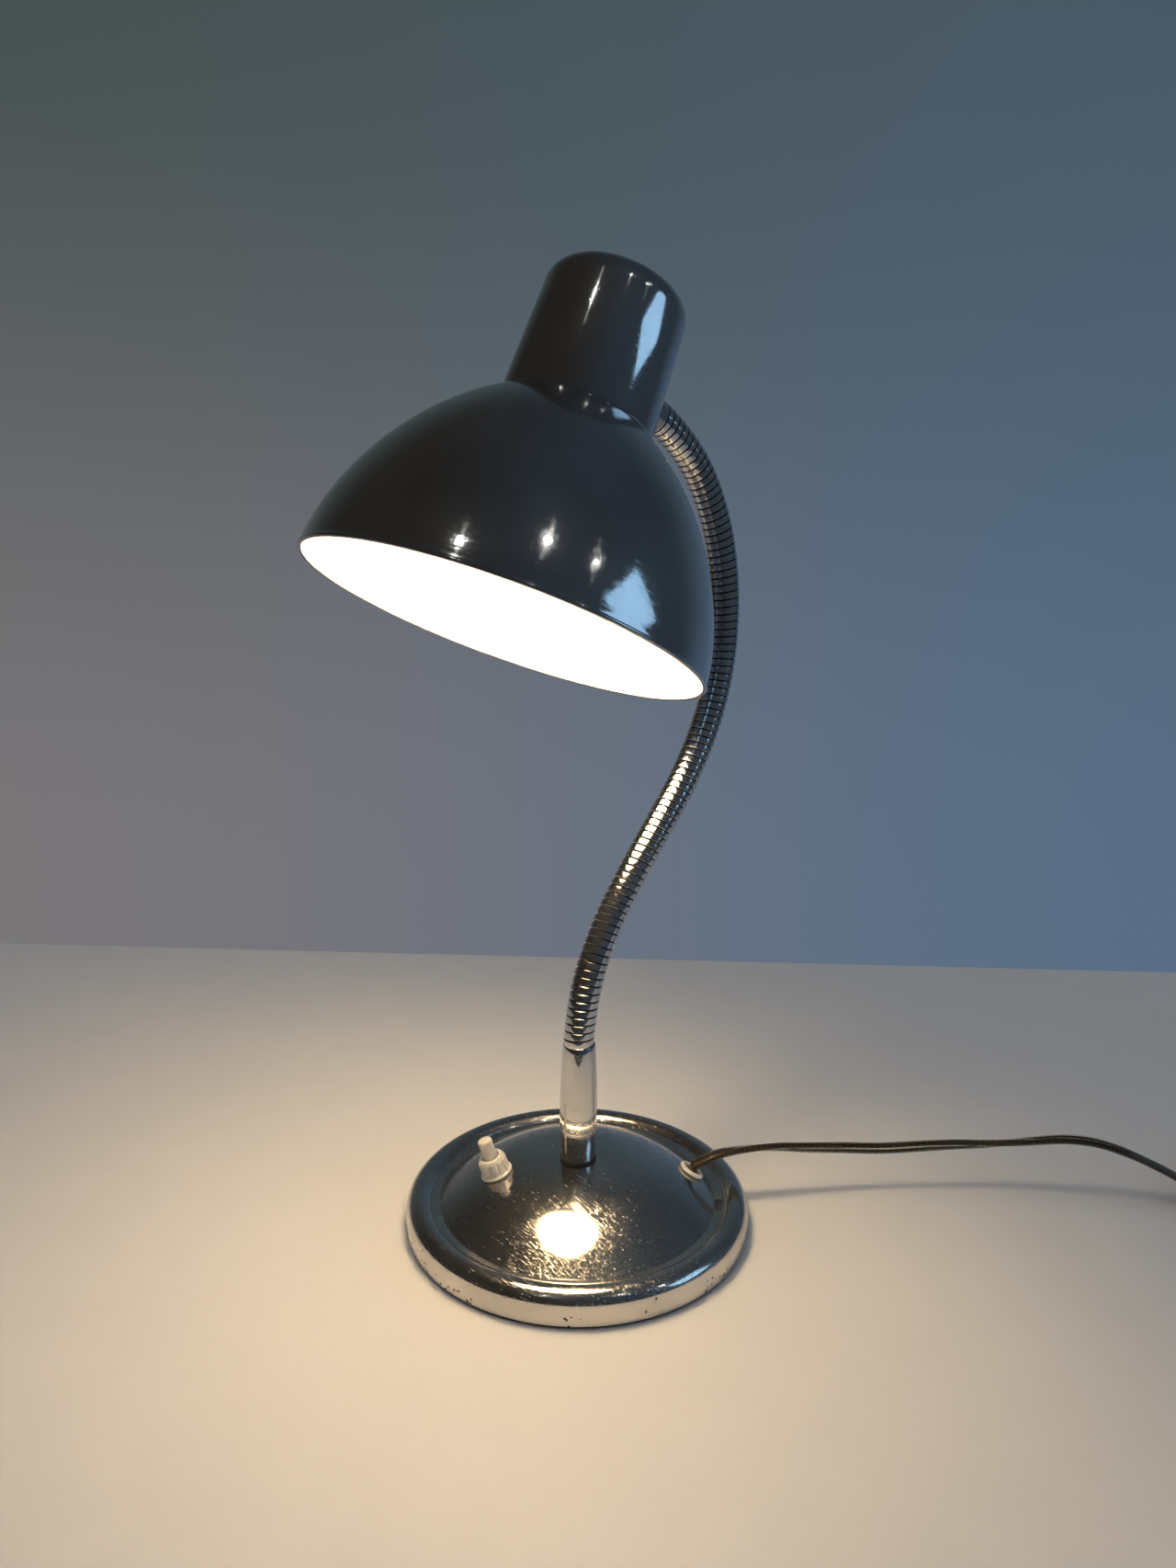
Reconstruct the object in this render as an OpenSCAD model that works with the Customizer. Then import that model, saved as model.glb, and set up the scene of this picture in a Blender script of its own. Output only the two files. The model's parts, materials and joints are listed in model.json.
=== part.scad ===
// Gooseneck desk lamp: a weighted round base, a flexible neck and a domed metal shade.
// Origin at the centre of the base's underside, +Z up, the neck bends in the YZ plane, shade towards -Y.

/* [Base] */
// Diameter of the base
base_d = 160; // [150:1:190]
// Height of the raised rim around the base
rim_h = 15.5; // [14:0.5:19]
// Radius of the rim's round top
rim_round = 6.5; // [5:0.5:7]
// Distance from the base's edge to its groove
groove_in = 14.5; // [13.5:0.5:16]
// Height of the bottom of the groove
groove_z = 11.5; // [11:0.5:13]
// Height of the base's domed middle
dome_h = 31; // [30:0.5:40]
// Thickness of the base's pressed steel
base_wall = 0.8; // [0.6:0.1:1.2]
// Thickness of the rubber pad under the base
pad_t = 1.2; // [0.8:0.1:1.6]
// Thickness of the cover plate above the pad
cover_t = 1; // [0.8:0.1:1.4]

/* [Stem] */
// Length of the smooth ferrule at the foot of the neck
ferrule_l = 57; // [46:1:80]
// Radius of the ferrule at its foot
ferrule_foot_r = 8; // [7.6:0.1:9]
// Radius of the ferrule at its top
ferrule_top_r = 7.4; // [7.2:0.1:8]
// How far the ferrule's belly stands out
ferrule_belly = 0.9; // [0.3:0.1:1.4]
// Outer radius of the hollow threaded stems
nipple_r = 5; // [4.8:0.1:5.2]
// Bore radius of the hollow threaded stems
nipple_bore = 3.4; // [3.1:0.1:3.6]

/* [Neck] */
// Outer radius of the flexible neck
neck_r = 7; // [6.8:0.1:7.4]
// Length of one link of the neck, from joint to joint
link_l = 25.8; // [24:0.2:30]
// Radius of the ball at each joint of the neck
ball_r = 6; // [5.8:0.05:6.1]
// Running clearance around each ball
ball_gap = 0.1; // [0.06:0.01:0.12]
// Radius of the narrow waist below each ball
waist_r = 4.2; // [4:0.1:4.3]
// Bore radius of the neck
neck_bore = 3; // [2.6:0.1:3.1]
// Depth of the grooves between the neck's rings
ring_groove = 0.5; // [0.2:0.1:0.8]

/* [Head] */
// Radius of the shade at its rim
shade_r = 84; // [78:1:95]
// Depth of the curve that the shade's side follows
shade_rise = 99.5; // [92:0.5:106]
// Thickness of the shade's metal
shade_wall = 0.9; // [0.6:0.1:1.2]
// Radius of the rolled bead at the shade's rim
bead_r = 1; // [0.8:0.1:1.6]
// Radius of the cap where it meets the shade
cap_r = 32; // [31.5:0.5:35]
// Radius of the cap below its rounded top
cap_top_r = 30; // [29.4:0.1:31.4]
// Height of the cap
cap_h = 61.5; // [58:0.5:72]
// Radius of the cap's rounded top corner
cap_round = 11; // [8:0.5:18]
// Rise of the cap's top above its rounded corner
cap_crown = 2; // [1:0.5:4]
// Thickness of the cap's metal
cap_wall = 0.8; // [0.6:0.1:1]
// Height of the neck's fixing above the cap's lower edge
fixing_h = 23; // [21:0.5:27]
// Distance from the last joint of the neck to the cap's axis
neck_reach = 46; // [45:0.2:60]

/* [Bulb] */
// Radius of the bulb's glass
bulb_r = 27.5; // [22:0.5:30]
// Length of the bulb without its screw cap
bulb_l = 67; // [60:1:72]
// Radius of the bulb's screw cap
bulb_cap_r = 13; // [12.8:0.1:13.1]
// Outer radius of the lampholder's threaded skirt
skirt_r = 19.8; // [19:0.1:20.5]

/* [Switch] */
// Distance of the switch from the stem
switch_out = 38; // [34:0.5:42]
// Radius of the switch's collar
collar_r = 6.7; // [6.4:0.1:8]
// Height of the switch's collar
collar_h = 9.5; // [8:0.5:13]
// Radius of the button
button_r = 3.3; // [3:0.1:4]
// How far the button stands above the collar
button_out = 8.8; // [6:0.1:12]
// Travel of the button
button_travel = 3; // [2:0.5:4]

/* [Cord] */
// Radius of the round solid that stands for the flat twin cord
cord_r = 3.2; // [2.6:0.1:3.4]
// Distance of the cord's grommet from the stem
grommet_out = 55; // [54:0.5:58]
// Outer radius of the grommet's flange
grommet_r = 6.3; // [6:0.1:8]
// Turn of the line through switch, stem and grommet away from the neck's plane
wiring_turn = 32.5; // [0:0.5:45]

/* [Hidden] */

chrome = "#9aa3ab";
bright = "#c8ccd0";
white_plastic = "#efe6d8";
black = "#1c1c1c";
brass = "#b99a4a";
iron = "#55565a";
smooth = 96;
mid = 64;
small = 32;
fit = 0.05;    // clearance of threads and of pieces that seat in each other
loose = 0.2;   // clearance of plain holes
apart = 0.3;   // gap left between curved faces
past = 1;      // how far a cutter reaches past what it cuts

// Base
base_r = base_d / 2;
groove_r = base_r - groove_in;
rim_mid_r = base_r - rim_round;
rim_mid_z = rim_h - rim_round;
inner_r = base_r - base_wall;
dome_power = 2.9;    // how flat the dome is in the middle
dome_fall = 1.15;    // how soon it falls towards the groove
dome_steps = 22;
function dome_z(r) = groove_z + (dome_h - groove_z) * pow(1 - pow(min(r / groove_r, 1), dome_power), dome_fall);
function dome_lean(r) = atan(dome_z(r - 0.5) - dome_z(r + 0.5));
function dome_under(r) = dome_z(r) - base_wall / cos(dome_lean(r));
cover_z = pad_t + cover_t;
ballast_top = groove_z - base_wall - apart;
ballast_r = inner_r - 5;
recess_r = 12;       // pocket for the nut under the ballast
recess_z = cover_z + 4.4;
washer_t = 1;
nut_t = 3;
nut_flats = 14;
screw_r = 1.5;
screw_head_r = 3;
cover_screw_at = 62;
cover_screw_turn = 75;
cover_screw_l = ballast_top - pad_t - 2;
washer_r = recess_r - 2;
foot_washer_r = ferrule_foot_r + 0.4;

// Stem
foot_z = dome_h + washer_t;
ferrule_z = foot_z + ferrule_l;
shoulder = 5;        // from the last ring of a link to the joint above it
skirt = 1.5;         // how far a socket reaches past its joint
stem_rise = 27;      // how far the foot's stem reaches into the ferrule
nipple_top = foot_z + stem_rise;
nipple_low = cover_z + 0.4;
window_low = ballast_top + 3;
window_h = 11;
window_high = window_low + window_h;
window_w = 4.8;
ferrule_steps = 14;
ferrule_seat = nipple_top + 0.5;   // end of the ferrule's wide bore

// Neck: lean of each link from the vertical, in degrees, + to the back, and of the sleeve at its end
leans = [12, 26, 36, 40, 39, 31, 20, 7, -5, -18, -33, -51];
sleeve_lean = -65;
link_count = len(leans);
function joint_y(k) = k == 0 ? 0 : joint_y(k - 1) + link_l * sin(leans[k - 1]);
function joint_z(k) = k == 0 ? ferrule_z + shoulder : joint_z(k - 1) + link_l * cos(leans[k - 1]);
ring_count = 6;
ring_pitch = (link_l - shoulder + skirt) / ring_count;
ring_edge = 0.35;    // from a groove to a ring's full radius
wire_r = 1.8;
mouth_flare = 1.9;

// Head, in its own frame: origin at the centre of the rim, +Z along its axis, neck on its +Y side
head_lean = 90 + sleeve_lean;
shade_top_r = cap_r + 0.4;
shade_power = 1.7;   // how full the shade's side is: 2 is an ellipse, less is flatter
function full(u) = pow(1 - pow(u, shade_power), 1 / shade_power);
shade_h = shade_rise * full(shade_top_r / shade_r) + shade_wall;
flange_hole_r = skirt_r + 0.6;
cap_z = shade_h;
cap_top_z = cap_z + cap_h;
fixing_z = cap_z + fixing_h;
head_y = joint_y(link_count) + sin(sleeve_lean) * neck_reach - sin(head_lean) * fixing_z;
head_z = joint_z(link_count) + cos(sleeve_lean) * neck_reach - cos(head_lean) * fixing_z;
shade_steps = 24;
function shade_x(z) = shade_r * full(z / shade_rise);
function shade_x_in(z) = (shade_r - shade_wall) * full(z / (shade_rise - shade_wall));
bracket_t = 1.5;
bracket_w = 14;
cap_inner = cap_top_r - cap_wall;
bracket_y = sqrt(pow(cap_inner, 2) - pow(bracket_w / 2, 2)) - apart;
bracket_rise = 18;   // from the neck's fixing to the bracket's top
bracket_z = fixing_z + bracket_rise;
bracket_tail = 9;    // how far the bracket reaches past the holder's screw and below the fixing
holder_screw_r = 2;
holder_screw_head = [4, 2.5];   // radius and height
holder_screw_l = 7;
holder_post_r = 6;
terminal_at = 12;
terminal_size = [6, 7, 4];
terminal_screw = [2.2, 2];
contact_size = [8, 8, 0.8];
holder_r = 19.5;
holder_shoulder_r = 24;
holder_shoulder_t = 4;
holder_top = fixing_z + 6;
skirt_drop = 9;      // how far the holder's skirt hangs below the shade's top
holder_low = shade_h - skirt_drop;
socket_top = fixing_z + 1.5;
shell_r = bulb_cap_r + fit;
shell_t = 0.6;
skirt_t = 2;
socket_depth = 25;
bulb_seat_z = socket_top - socket_depth;  // top of the glass, where the screw cap begins
bulb_contact_h = 3.2;
bulb_contact_r = 9;
clamp_ring_h = 6;
clamp_ring_r = skirt_r + 6;
clamp_ring_z = shade_h - shade_wall - clamp_ring_h;
clamp_ring_notch = 1.5;
nipple_in = 7.5;     // how far the head's stem reaches past the bracket, for its nut
upper_nut_t = 4;
sleeve_r = neck_r + 0.2;

// Switch, in its own frame: origin on the dome, +Z along the dome's normal
switch_z = dome_z(switch_out);
switch_lean = dome_lean(switch_out);
barrel_r = 5;
flange_t = 1.5;
flange_r = collar_r + 0.8;
body_r = 8;
body_l = 9.5;
body_z = -base_wall - 0.6;
button_bore = button_r + 0.1;
button_recess = [0.6, 2];   // how far the recess round the button stands off, and its depth
barrel_top = collar_h - 5;
collar_taper = 2;    // height of the collar's cone
collar_seam = 0.5;   // from the flange to the collar
rib_count = 12;
rib_cut_r = 0.7;
spring_low = body_z - body_l + 2;
spring_r = 2.4;
spring_wire = 0.35;
spring_turns = 4;
button_low = spring_low + button_travel + 4;
button_top = collar_h + button_out;
blade = [0.8, 3, 4];
blade_at = 4;
blade_z = body_z - body_l - blade[2];

// Grommet, in its own frame: origin on the dome, +Z along the dome's normal
grommet_z = dome_z(grommet_out);
grommet_lean = dome_lean(grommet_out);
grommet_barrel = 5;
grommet_t = 1.8;
grommet_lift = 0.15;
grommet_back = 1.6;
grommet_lip = 1.2;
mouth = grommet_lift + grommet_t;
function from_grommet(d) = let (r = grommet_out + d * sin(grommet_lean))
  [r * sin(wiring_turn), r * cos(wiring_turn), grommet_z + d * cos(grommet_lean)];

// Cord lead inside the base, in the frame of the wiring line: [distance from the stem, height]
slot_low = 5;
slot_w = 14;
slot_in = 27;
slot_out = grommet_out + 6;
lead_z = ballast_top + 0.6;
clamp_at = 38;
clamp_w = 26;
clamp_l = 7;
clamp_h = 7;
clamp_screw_x = clamp_w / 2 - 3;
clamp_screw_low = slot_low + 0.5;
clamp_head = [2.8, 2];
lead_end = 29;
lead_bends = [[-3.9, -5.6], [-7, lead_z + 1 - grommet_z], [-11, lead_z - grommet_z]];  // from the grommet
block_at = [22, -6];
block_size = [16, 20, 11];
block_half = 5;      // from the block's middle to each wire
block_wire_z = 4.5;
block_bore = 2.5;
block_screw_r = 1.7;
base_wire_r = 1.1;
wire_gap = 0.9;      // from the end of the lead's cover to the wires
feed_at = 1.4;
feed_wire = [[6, 22, 4.6], [16, 17, 5.6], [34, 9, 6], [35, 1, 4.5], [31.5, -1, 4.5]];
switch_wire = [[-7, 20, 4.6], [-11, 8, 6.6], [-12, -12, 3.6], [-9, -26, 3]];
back_wire = [[9, -27, 3], [11, -19, 4.5], [13.4, -11, 4.5]];
neck_lead = [[11, 3, 2.5], [5, 9.5, 3], [0, 7, 4], [0, 3.4, 5.5], [0, 1, 8], [0, 0, 11]];

// Cord outside: route along which the flat cord hangs, round numbers chosen by hand
route = [
  [32, 52, 23], [36, 59, 25.5], [41.5, 68.5, 26.5], [50.5, 82.5, 26.5], [60, 96.5, 25], [71, 112.5, 23.5],
  [83, 128, 22.5], [95.5, 142.5, 23.5], [106.5, 154.5, 24.5], [117.5, 166.5, 25], [129.5, 176.5, 27.5],
  [143, 187.5, 30.5], [151.5, 194, 31], [159, 200.5, 29.5], [167.5, 207, 26.5], [175, 216, 21],
  [184.5, 226.5, 13.5], [190, 231.5, 8.5], [197, 233, 5], [204, 232, 3.6], [211, 229, 3.4]
];
coil_mid_r = 34;
coil_half = 6.6;
coil_at = [224, 264];
coil_z = 0.2;
tail = [
  [224, 227, 11.2], [236, 226.5, 10], [248, 227, 7], [259, 229.5, 4.4], [270, 235, 3.4], [278, 243, 3.4],
  [282, 252, 3.4], [282, 256, 3.4]
];
plug_at = [282, 256];
plug_l = 37;
plug_w = 35;
plug_t = 14;
plug_face = 12;      // depth of the plug's full-size front part
pin_r = 2;
pin_l = 19;
pin_gap = 18.6;
pin_root = 5;
pin_nose = 1;

// Bulb
glass_low = bulb_seat_z - bulb_l;
glass_mid = glass_low + bulb_r;
glass_neck_r = bulb_cap_r - 0.4;
glass_t = 0.8;
glass_steps = 12;
bulb_cap_t = 0.6;
bulb_cap_l = socket_top - bulb_seat_z - bulb_contact_h;

function unit(v) = v / norm(v);
function ring(p, t, ref, r, n) = let (s = unit(cross(t, ref)), u = cross(s, t))
  [for (i = [0:n - 1]) p + r * (cos(360 * i / n) * s + sin(360 * i / n) * u)];

// A tube of n sides along a path; ref is a direction that the path never follows
module tube(path, r, n = 8, ref = [0, 0, 1]) {
  m = len(path);
  heading = [for (i = [0:m - 1]) unit(path[min(i + 1, m - 1)] - path[max(i - 1, 0)])];
  polyhedron(
    points = [for (i = [0:m - 1]) each ring(path[i], heading[i], ref, r, n)],
    faces = [
      [for (j = [n - 1:-1:0]) j],
      [for (j = [0:n - 1]) (m - 1) * n + j],
      for (i = [0:m - 2]) for (j = [0:n - 1]) let (k = (j + 1) % n)
        [i * n + j, i * n + k, (i + 1) * n + k, (i + 1) * n + j]
    ]);
}

module bored(r, h, bore, fn = mid) {
  difference() {
    cylinder(r = r, h = h, $fn = fn);
    translate([0, 0, -past]) cylinder(r = bore, h = h + 2 * past, $fn = fn);
  }
}

module hex_nut(h) {
  difference() {
    cylinder(d = nut_flats / cos(30), h = h, $fn = 6);
    translate([0, 0, -past]) cylinder(r = nipple_r + fit, h = h + 2 * past, $fn = mid);
  }
}

module at_wiring() rotate([0, 0, -wiring_turn]) children();
module at_switch() at_wiring() translate([0, -switch_out, switch_z]) rotate([switch_lean, 0, 0]) children();
module at_grommet() at_wiring() translate([0, grommet_out, grommet_z]) rotate([-grommet_lean, 0, 0]) children();
module at_link(k) translate([0, joint_y(k), joint_z(k)]) rotate([-leans[k], 0, 0]) children();
module at_head() translate([0, head_y, head_z]) rotate([-head_lean, 0, 0]) children();
// Along the neck's fixing: +Z from the cap's axis towards the neck
module at_fixing() at_head() translate([0, 0, fixing_z]) rotate([-90, 0, 0]) children();

// ---- Base ----

module base_profile() {
  outer = [
    [base_r, pad_t],
    for (a = [0:10:150]) [rim_mid_r + rim_round * cos(a), rim_mid_z + rim_round * sin(a)],
    for (i = [0:dome_steps]) let (r = groove_r + (nipple_r + loose - groove_r) * i / dome_steps) [r, dome_z(r)]
  ];
  r_in = rim_round - base_wall;
  inner = [
    for (i = [dome_steps:-1:0]) let (r = groove_r + (nipple_r + loose - groove_r) * i / dome_steps)
      [r, dome_under(r)],
    for (a = [140:-10:0]) [rim_mid_r + r_in * cos(a), rim_mid_z + r_in * sin(a)],
    [inner_r, pad_t]
  ];
  polygon(concat(outer, inner));
}

module base_shell() color(chrome) difference() {
  rotate_extrude($fn = smooth) base_profile();
  at_switch() cylinder(r = barrel_r + loose, h = body_l, center = true, $fn = mid);
  at_grommet() cylinder(r = grommet_barrel + loose, h = body_l, center = true, $fn = mid);
}

module base_pad() color(black) cylinder(r = base_r - 1, h = pad_t, $fn = smooth);

module cover_screw_places() {
  for (i = [0:2]) rotate([0, 0, cover_screw_turn + 120 * i]) translate([cover_screw_at, 0, pad_t]) children();
}

module countersunk(grow) rotate_extrude($fn = small)
  polygon([
    [0, 0], [screw_head_r + grow, 0], [screw_r + grow, cover_t], [screw_r + grow, cover_screw_l],
    [0, cover_screw_l]
  ]);

module base_cover() color(iron) difference() {
  translate([0, 0, pad_t]) bored(inner_r - apart, cover_t, recess_r, smooth);
  cover_screw_places() countersunk(fit);
}

module cover_screws() color(bright) cover_screw_places() countersunk(0);

module base_ballast() color(iron) difference() {
  translate([0, 0, cover_z]) bored(ballast_r, ballast_top - cover_z, nipple_r + loose, smooth);
  translate([0, 0, cover_z - past]) cylinder(r = recess_r, h = recess_z - cover_z + past, $fn = mid);
  cover_screw_places() countersunk(fit);
  at_wiring() translate([-slot_w / 2, slot_in, slot_low])
    cube([slot_w, slot_out - slot_in, ballast_top]);
  at_wiring() for (x = [-1, 1]) translate([x * clamp_screw_x, clamp_at, slot_low])
    cylinder(r = screw_r + fit, h = ballast_top, $fn = small);
}

module stem_nipple() color(brass) difference() {
  translate([0, 0, nipple_low]) bored(nipple_r, nipple_top - nipple_low, nipple_bore);
  at_wiring() translate([-window_w / 2, 0, window_low])
    cube([window_w, nipple_r * 2, window_high - window_low]);
}

module stem_nut() color(brass) translate([0, 0, recess_z - washer_t - nut_t]) hex_nut(nut_t);

module stem_washer() color(bright) translate([0, 0, recess_z - washer_t])
  bored(washer_r, washer_t, nipple_r + loose);

module foot_washer() color(black) translate([0, 0, dome_h]) bored(foot_washer_r, washer_t, nipple_r + loose);

module lower_ferrule() color(bright) difference() {
  union() {
    translate([0, 0, foot_z]) rotate_extrude($fn = mid)
      polygon([
        [0, 0],
        for (i = [0:ferrule_steps]) let (u = i / ferrule_steps, belly = ferrule_belly * 4 * u * (1 - u))
          [ferrule_foot_r + (ferrule_top_r - ferrule_foot_r) * u + belly, ferrule_l * u],
        [0, ferrule_l]
      ]);
    translate([0, 0, ferrule_z - past]) cylinder(r = waist_r, h = shoulder + past, $fn = mid);
    translate([0, 0, ferrule_z + shoulder]) sphere(r = ball_r, $fn = mid);
  }
  cylinder(r = nipple_r + fit, h = ferrule_seat, $fn = mid);
  cylinder(r = neck_bore, h = ferrule_z + shoulder + ball_r + past, $fn = mid);
  translate([0, 0, ferrule_z + shoulder]) ball_mouth();
}

// ---- Switch ----

module switch_body() color(white_plastic) at_switch() difference() {
  union() {
    translate([0, 0, body_z - body_l]) cylinder(r = body_r, h = body_l, $fn = mid);
    translate([0, 0, body_z - past]) cylinder(r = barrel_r, h = barrel_top + past - body_z, $fn = mid);
  }
  translate([0, 0, spring_low]) cylinder(r = button_bore, h = body_l + collar_h, $fn = mid);
}

module switch_collar() color(white_plastic) at_switch() difference() {
  rotate_extrude($fn = mid) polygon([
    [0, apart / 2], [flange_r, apart / 2], [flange_r, flange_t], [collar_r, flange_t + collar_seam],
    [collar_r - 0.2, collar_h - collar_taper], [collar_r - 1.2, collar_h], [0, collar_h]
  ]);
  cylinder(r = button_bore, h = collar_h + past, $fn = mid);
  translate([0, 0, collar_h - button_recess[1]])
    cylinder(r = button_r + button_recess[0], h = button_recess[1] + past, $fn = mid);
  cylinder(r = barrel_r + fit, h = barrel_top + apart, $fn = mid);
  for (i = [0:rib_count - 1]) rotate([0, 0, (i + 0.5) * 360 / rib_count])
    translate([collar_r + rib_cut_r / 2, 0, flange_t + 2 * collar_seam])
      cylinder(r = rib_cut_r, h = collar_h, $fn = small);
}

module switch_button() color(white_plastic) at_switch() rotate_extrude($fn = mid) polygon([
  [0, button_low], [button_r, button_low], [button_r, collar_h + past], [button_r, button_top - 0.6],
  [button_r - 0.6, button_top], [0, button_top]
]);

module switch_spring() color(bright) at_switch() {
  steps = 16;
  last = spring_turns * steps;
  ends = spring_wire + loose;
  rise = button_low - spring_low - 2 * ends;
  tube([for (i = [0:last]) let (a = 360 * i / steps)
    [spring_r * cos(a), spring_r * sin(a), spring_low + ends + rise * i / last]], spring_wire, 6);
}

module switch_terminals() color(brass) at_switch()
  for (x = [-1, 1]) translate([x * blade_at - blade[0] / 2, -blade[1] / 2, blade_z]) cube(blade);

// ---- Wiring in the base ----

module cord_grommet() color(white_plastic) at_grommet() difference() {
  union() {
    translate([0, 0, grommet_lift]) rotate_extrude($fn = mid) polygon([
      [0, 0], [grommet_r, 0], [grommet_r, grommet_t - 1.1], [grommet_r - 0.7, grommet_t - 0.3],
      [grommet_r - 1.5, grommet_t], [cord_r + 0.7, grommet_t - 0.2], [0, grommet_t - 0.6]
    ]);
    translate([0, 0, -grommet_back - past])
      cylinder(r = grommet_barrel, h = grommet_back + 2 * past, $fn = mid);
    translate([0, 0, -grommet_back - grommet_lip])
      cylinder(r = grommet_barrel + 1, h = grommet_lip, $fn = mid);
  }
  cylinder(r = cord_r + fit, h = grommet_r * 2, center = true, $fn = mid);
}

function on_line(p) = [p[0] * sin(wiring_turn), p[0] * cos(wiring_turn), p[1]];

module base_lead() color(black) tube(concat(
  [for (d = [mouth, 0.5, -1.5, -3]) from_grommet(d)],
  [for (p = lead_bends) on_line([grommet_out, grommet_z] + p)],
  [for (d = [clamp_at + clamp_l / 2, clamp_at - clamp_l / 2, lead_end]) on_line([d, lead_z])]), cord_r - loose);

module cord_clamp() color(black) at_wiring() difference() {
  translate([-clamp_w / 2, clamp_at - clamp_l / 2, ballast_top]) cube([clamp_w, clamp_l, clamp_h]);
  translate([0, clamp_at, lead_z]) rotate([90, 0, 0])
    cylinder(r = cord_r + fit, h = clamp_l * 2, center = true, $fn = mid);
  for (x = [-1, 1]) translate([x * clamp_screw_x, clamp_at, ballast_top - past])
    cylinder(r = screw_r + fit, h = clamp_h + 2 * past, $fn = small);
}

module clamp_screws() color(bright) at_wiring() for (x = [-1, 1]) translate([x * clamp_screw_x, clamp_at, 0]) {
  translate([0, 0, clamp_screw_low]) cylinder(r = screw_r, h = ballast_top + clamp_h - slot_low, $fn = small);
  translate([0, 0, ballast_top + clamp_h]) cylinder(r = clamp_head[0], h = clamp_head[1], $fn = small);
}

module at_block() at_wiring() translate([block_at[0], block_at[1], ballast_top]) children();

module terminal_block() color(white_plastic) at_block() difference() {
  translate([-block_size[0] / 2, -block_size[1] / 2, 0]) cube(block_size);
  for (y = [-1, 1]) translate([0, y * block_half, block_wire_z]) {
    rotate([0, 90, 0]) cylinder(r = block_bore, h = block_size[0] * 2, center = true, $fn = small);
    cylinder(r = block_screw_r + apart, h = block_size[2], $fn = small);
  }
}

module terminal_screws() color(brass) at_block()
  for (y = [-1, 1]) translate([0, y * block_half, block_wire_z]) {
    rotate([0, 90, 0]) difference() {
      cylinder(r = block_bore - fit, h = block_size[0] - 2, center = true, $fn = small);
      cylinder(r = base_wire_r + apart, h = block_size[0], center = true, $fn = small);
    }
    translate([0, 0, base_wire_r + 0.5]) cylinder(r = block_screw_r, h = block_size[2] - 7, $fn = small);
  }

// Beside a switch terminal, in the frame of the wiring line
function switch_point(side) = let (d = blade_z + 2.5)
  [side * (blade_at + 2), -switch_out - d * sin(switch_lean), switch_z + d * cos(switch_lean)];

module base_wires() color(black) at_wiring() {
  up = [0, 0, ballast_top];
  feed = [for (p = feed_wire) up + p];
  out = [for (p = switch_wire) up + p];
  back = [for (p = back_wire) up + p];
  tube(concat([[feed_at, lead_end - wire_gap, lead_z]], feed), base_wire_r, 8);
  tube(concat([[-feed_at, lead_end - wire_gap, lead_z]], out, [switch_point(-1)]), base_wire_r, 8);
  tube(concat([switch_point(1)], back), base_wire_r, 8);
}

// ---- Neck ----

// Lead in the neck: from the terminal block, in at the stem's window and up through every joint
module neck_wires() color(black) {
  start = [for (p = neck_lead) [p[0] * cos(wiring_turn) + p[1] * sin(wiring_turn),
    p[1] * cos(wiring_turn) - p[0] * sin(wiring_turn), window_low + p[2]]];
  rise = [[0, 0, nipple_top], [0, 0, ferrule_z - 4]];
  up = [for (k = [0:link_count]) [0, joint_y(k), joint_z(k)]];
  last = up[link_count];
  reach = [0, sin(sleeve_lean), cos(sleeve_lean)];
  inside = neck_reach - bracket_y + nipple_in;
  tube(concat(start, rise, up, [last + reach * 8, last + reach * inside]), wire_r, 8, [1, 0.02, 0]);
}

// Flared mouth of a ball, so that the lead isn't pinched where the neck bends
module ball_mouth() cylinder(r1 = neck_bore, r2 = neck_bore + mouth_flare, h = ball_r, $fn = mid);

module link_rings() rotate_extrude($fn = mid) polygon([
  [0, -skirt],
  for (i = [0:ring_count - 1]) let (z = -skirt + ring_pitch * i) each [
    [neck_r - ring_groove, z], [neck_r, z + ring_edge], [neck_r, z + ring_pitch - 2 * ring_edge],
    [neck_r - ring_groove, z + ring_pitch - ring_edge]
  ],
  [neck_r - ring_groove, link_l - shoulder], [0, link_l - shoulder]
]);

module link(k) color(bright) at_link(k - 1) difference() {
  union() {
    link_rings();
    translate([0, 0, link_l - shoulder - past]) cylinder(r = waist_r, h = shoulder + past, $fn = mid);
    translate([0, 0, link_l]) sphere(r = ball_r, $fn = mid);
  }
  sphere(r = ball_r + ball_gap, $fn = mid);
  translate([0, 0, -skirt - past]) cylinder(r = neck_bore, h = link_l + ball_r + skirt + 2 * past, $fn = mid);
  translate([0, 0, link_l]) ball_mouth();
}

// ---- Head ----

// From the seam up a straight side, round the corner and over a crown that follows on smoothly
function cap_side(grow) = let (
  corner = cap_round + grow,
  corner_z = cap_top_z - cap_crown - cap_round,
  inset = cap_top_r - cap_round,
  turn = 90 - 2 * atan(cap_crown / inset),
  crown = corner + inset / cos(turn)
) concat(
  [[cap_r + grow, cap_z]],
  [for (i = [0:8]) let (a = turn * i / 8) [inset + corner * cos(a), corner_z + corner * sin(a)]],
  [for (i = [1:6]) let (a = turn + (90 - turn) * i / 6)
    [crown * cos(a), corner_z - inset * tan(turn) + crown * sin(a)]]
);

function backwards(list) = [for (i = [len(list) - 1:-1:0]) list[i]];

module cap() color(chrome) at_head() difference() {
  rotate_extrude($fn = smooth) polygon(concat(cap_side(0), backwards(cap_side(-cap_wall))));
  translate([0, 0, fixing_z]) rotate([-90, 0, 0]) cylinder(r = nipple_r + loose, h = cap_r * 2, $fn = mid);
}

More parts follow.
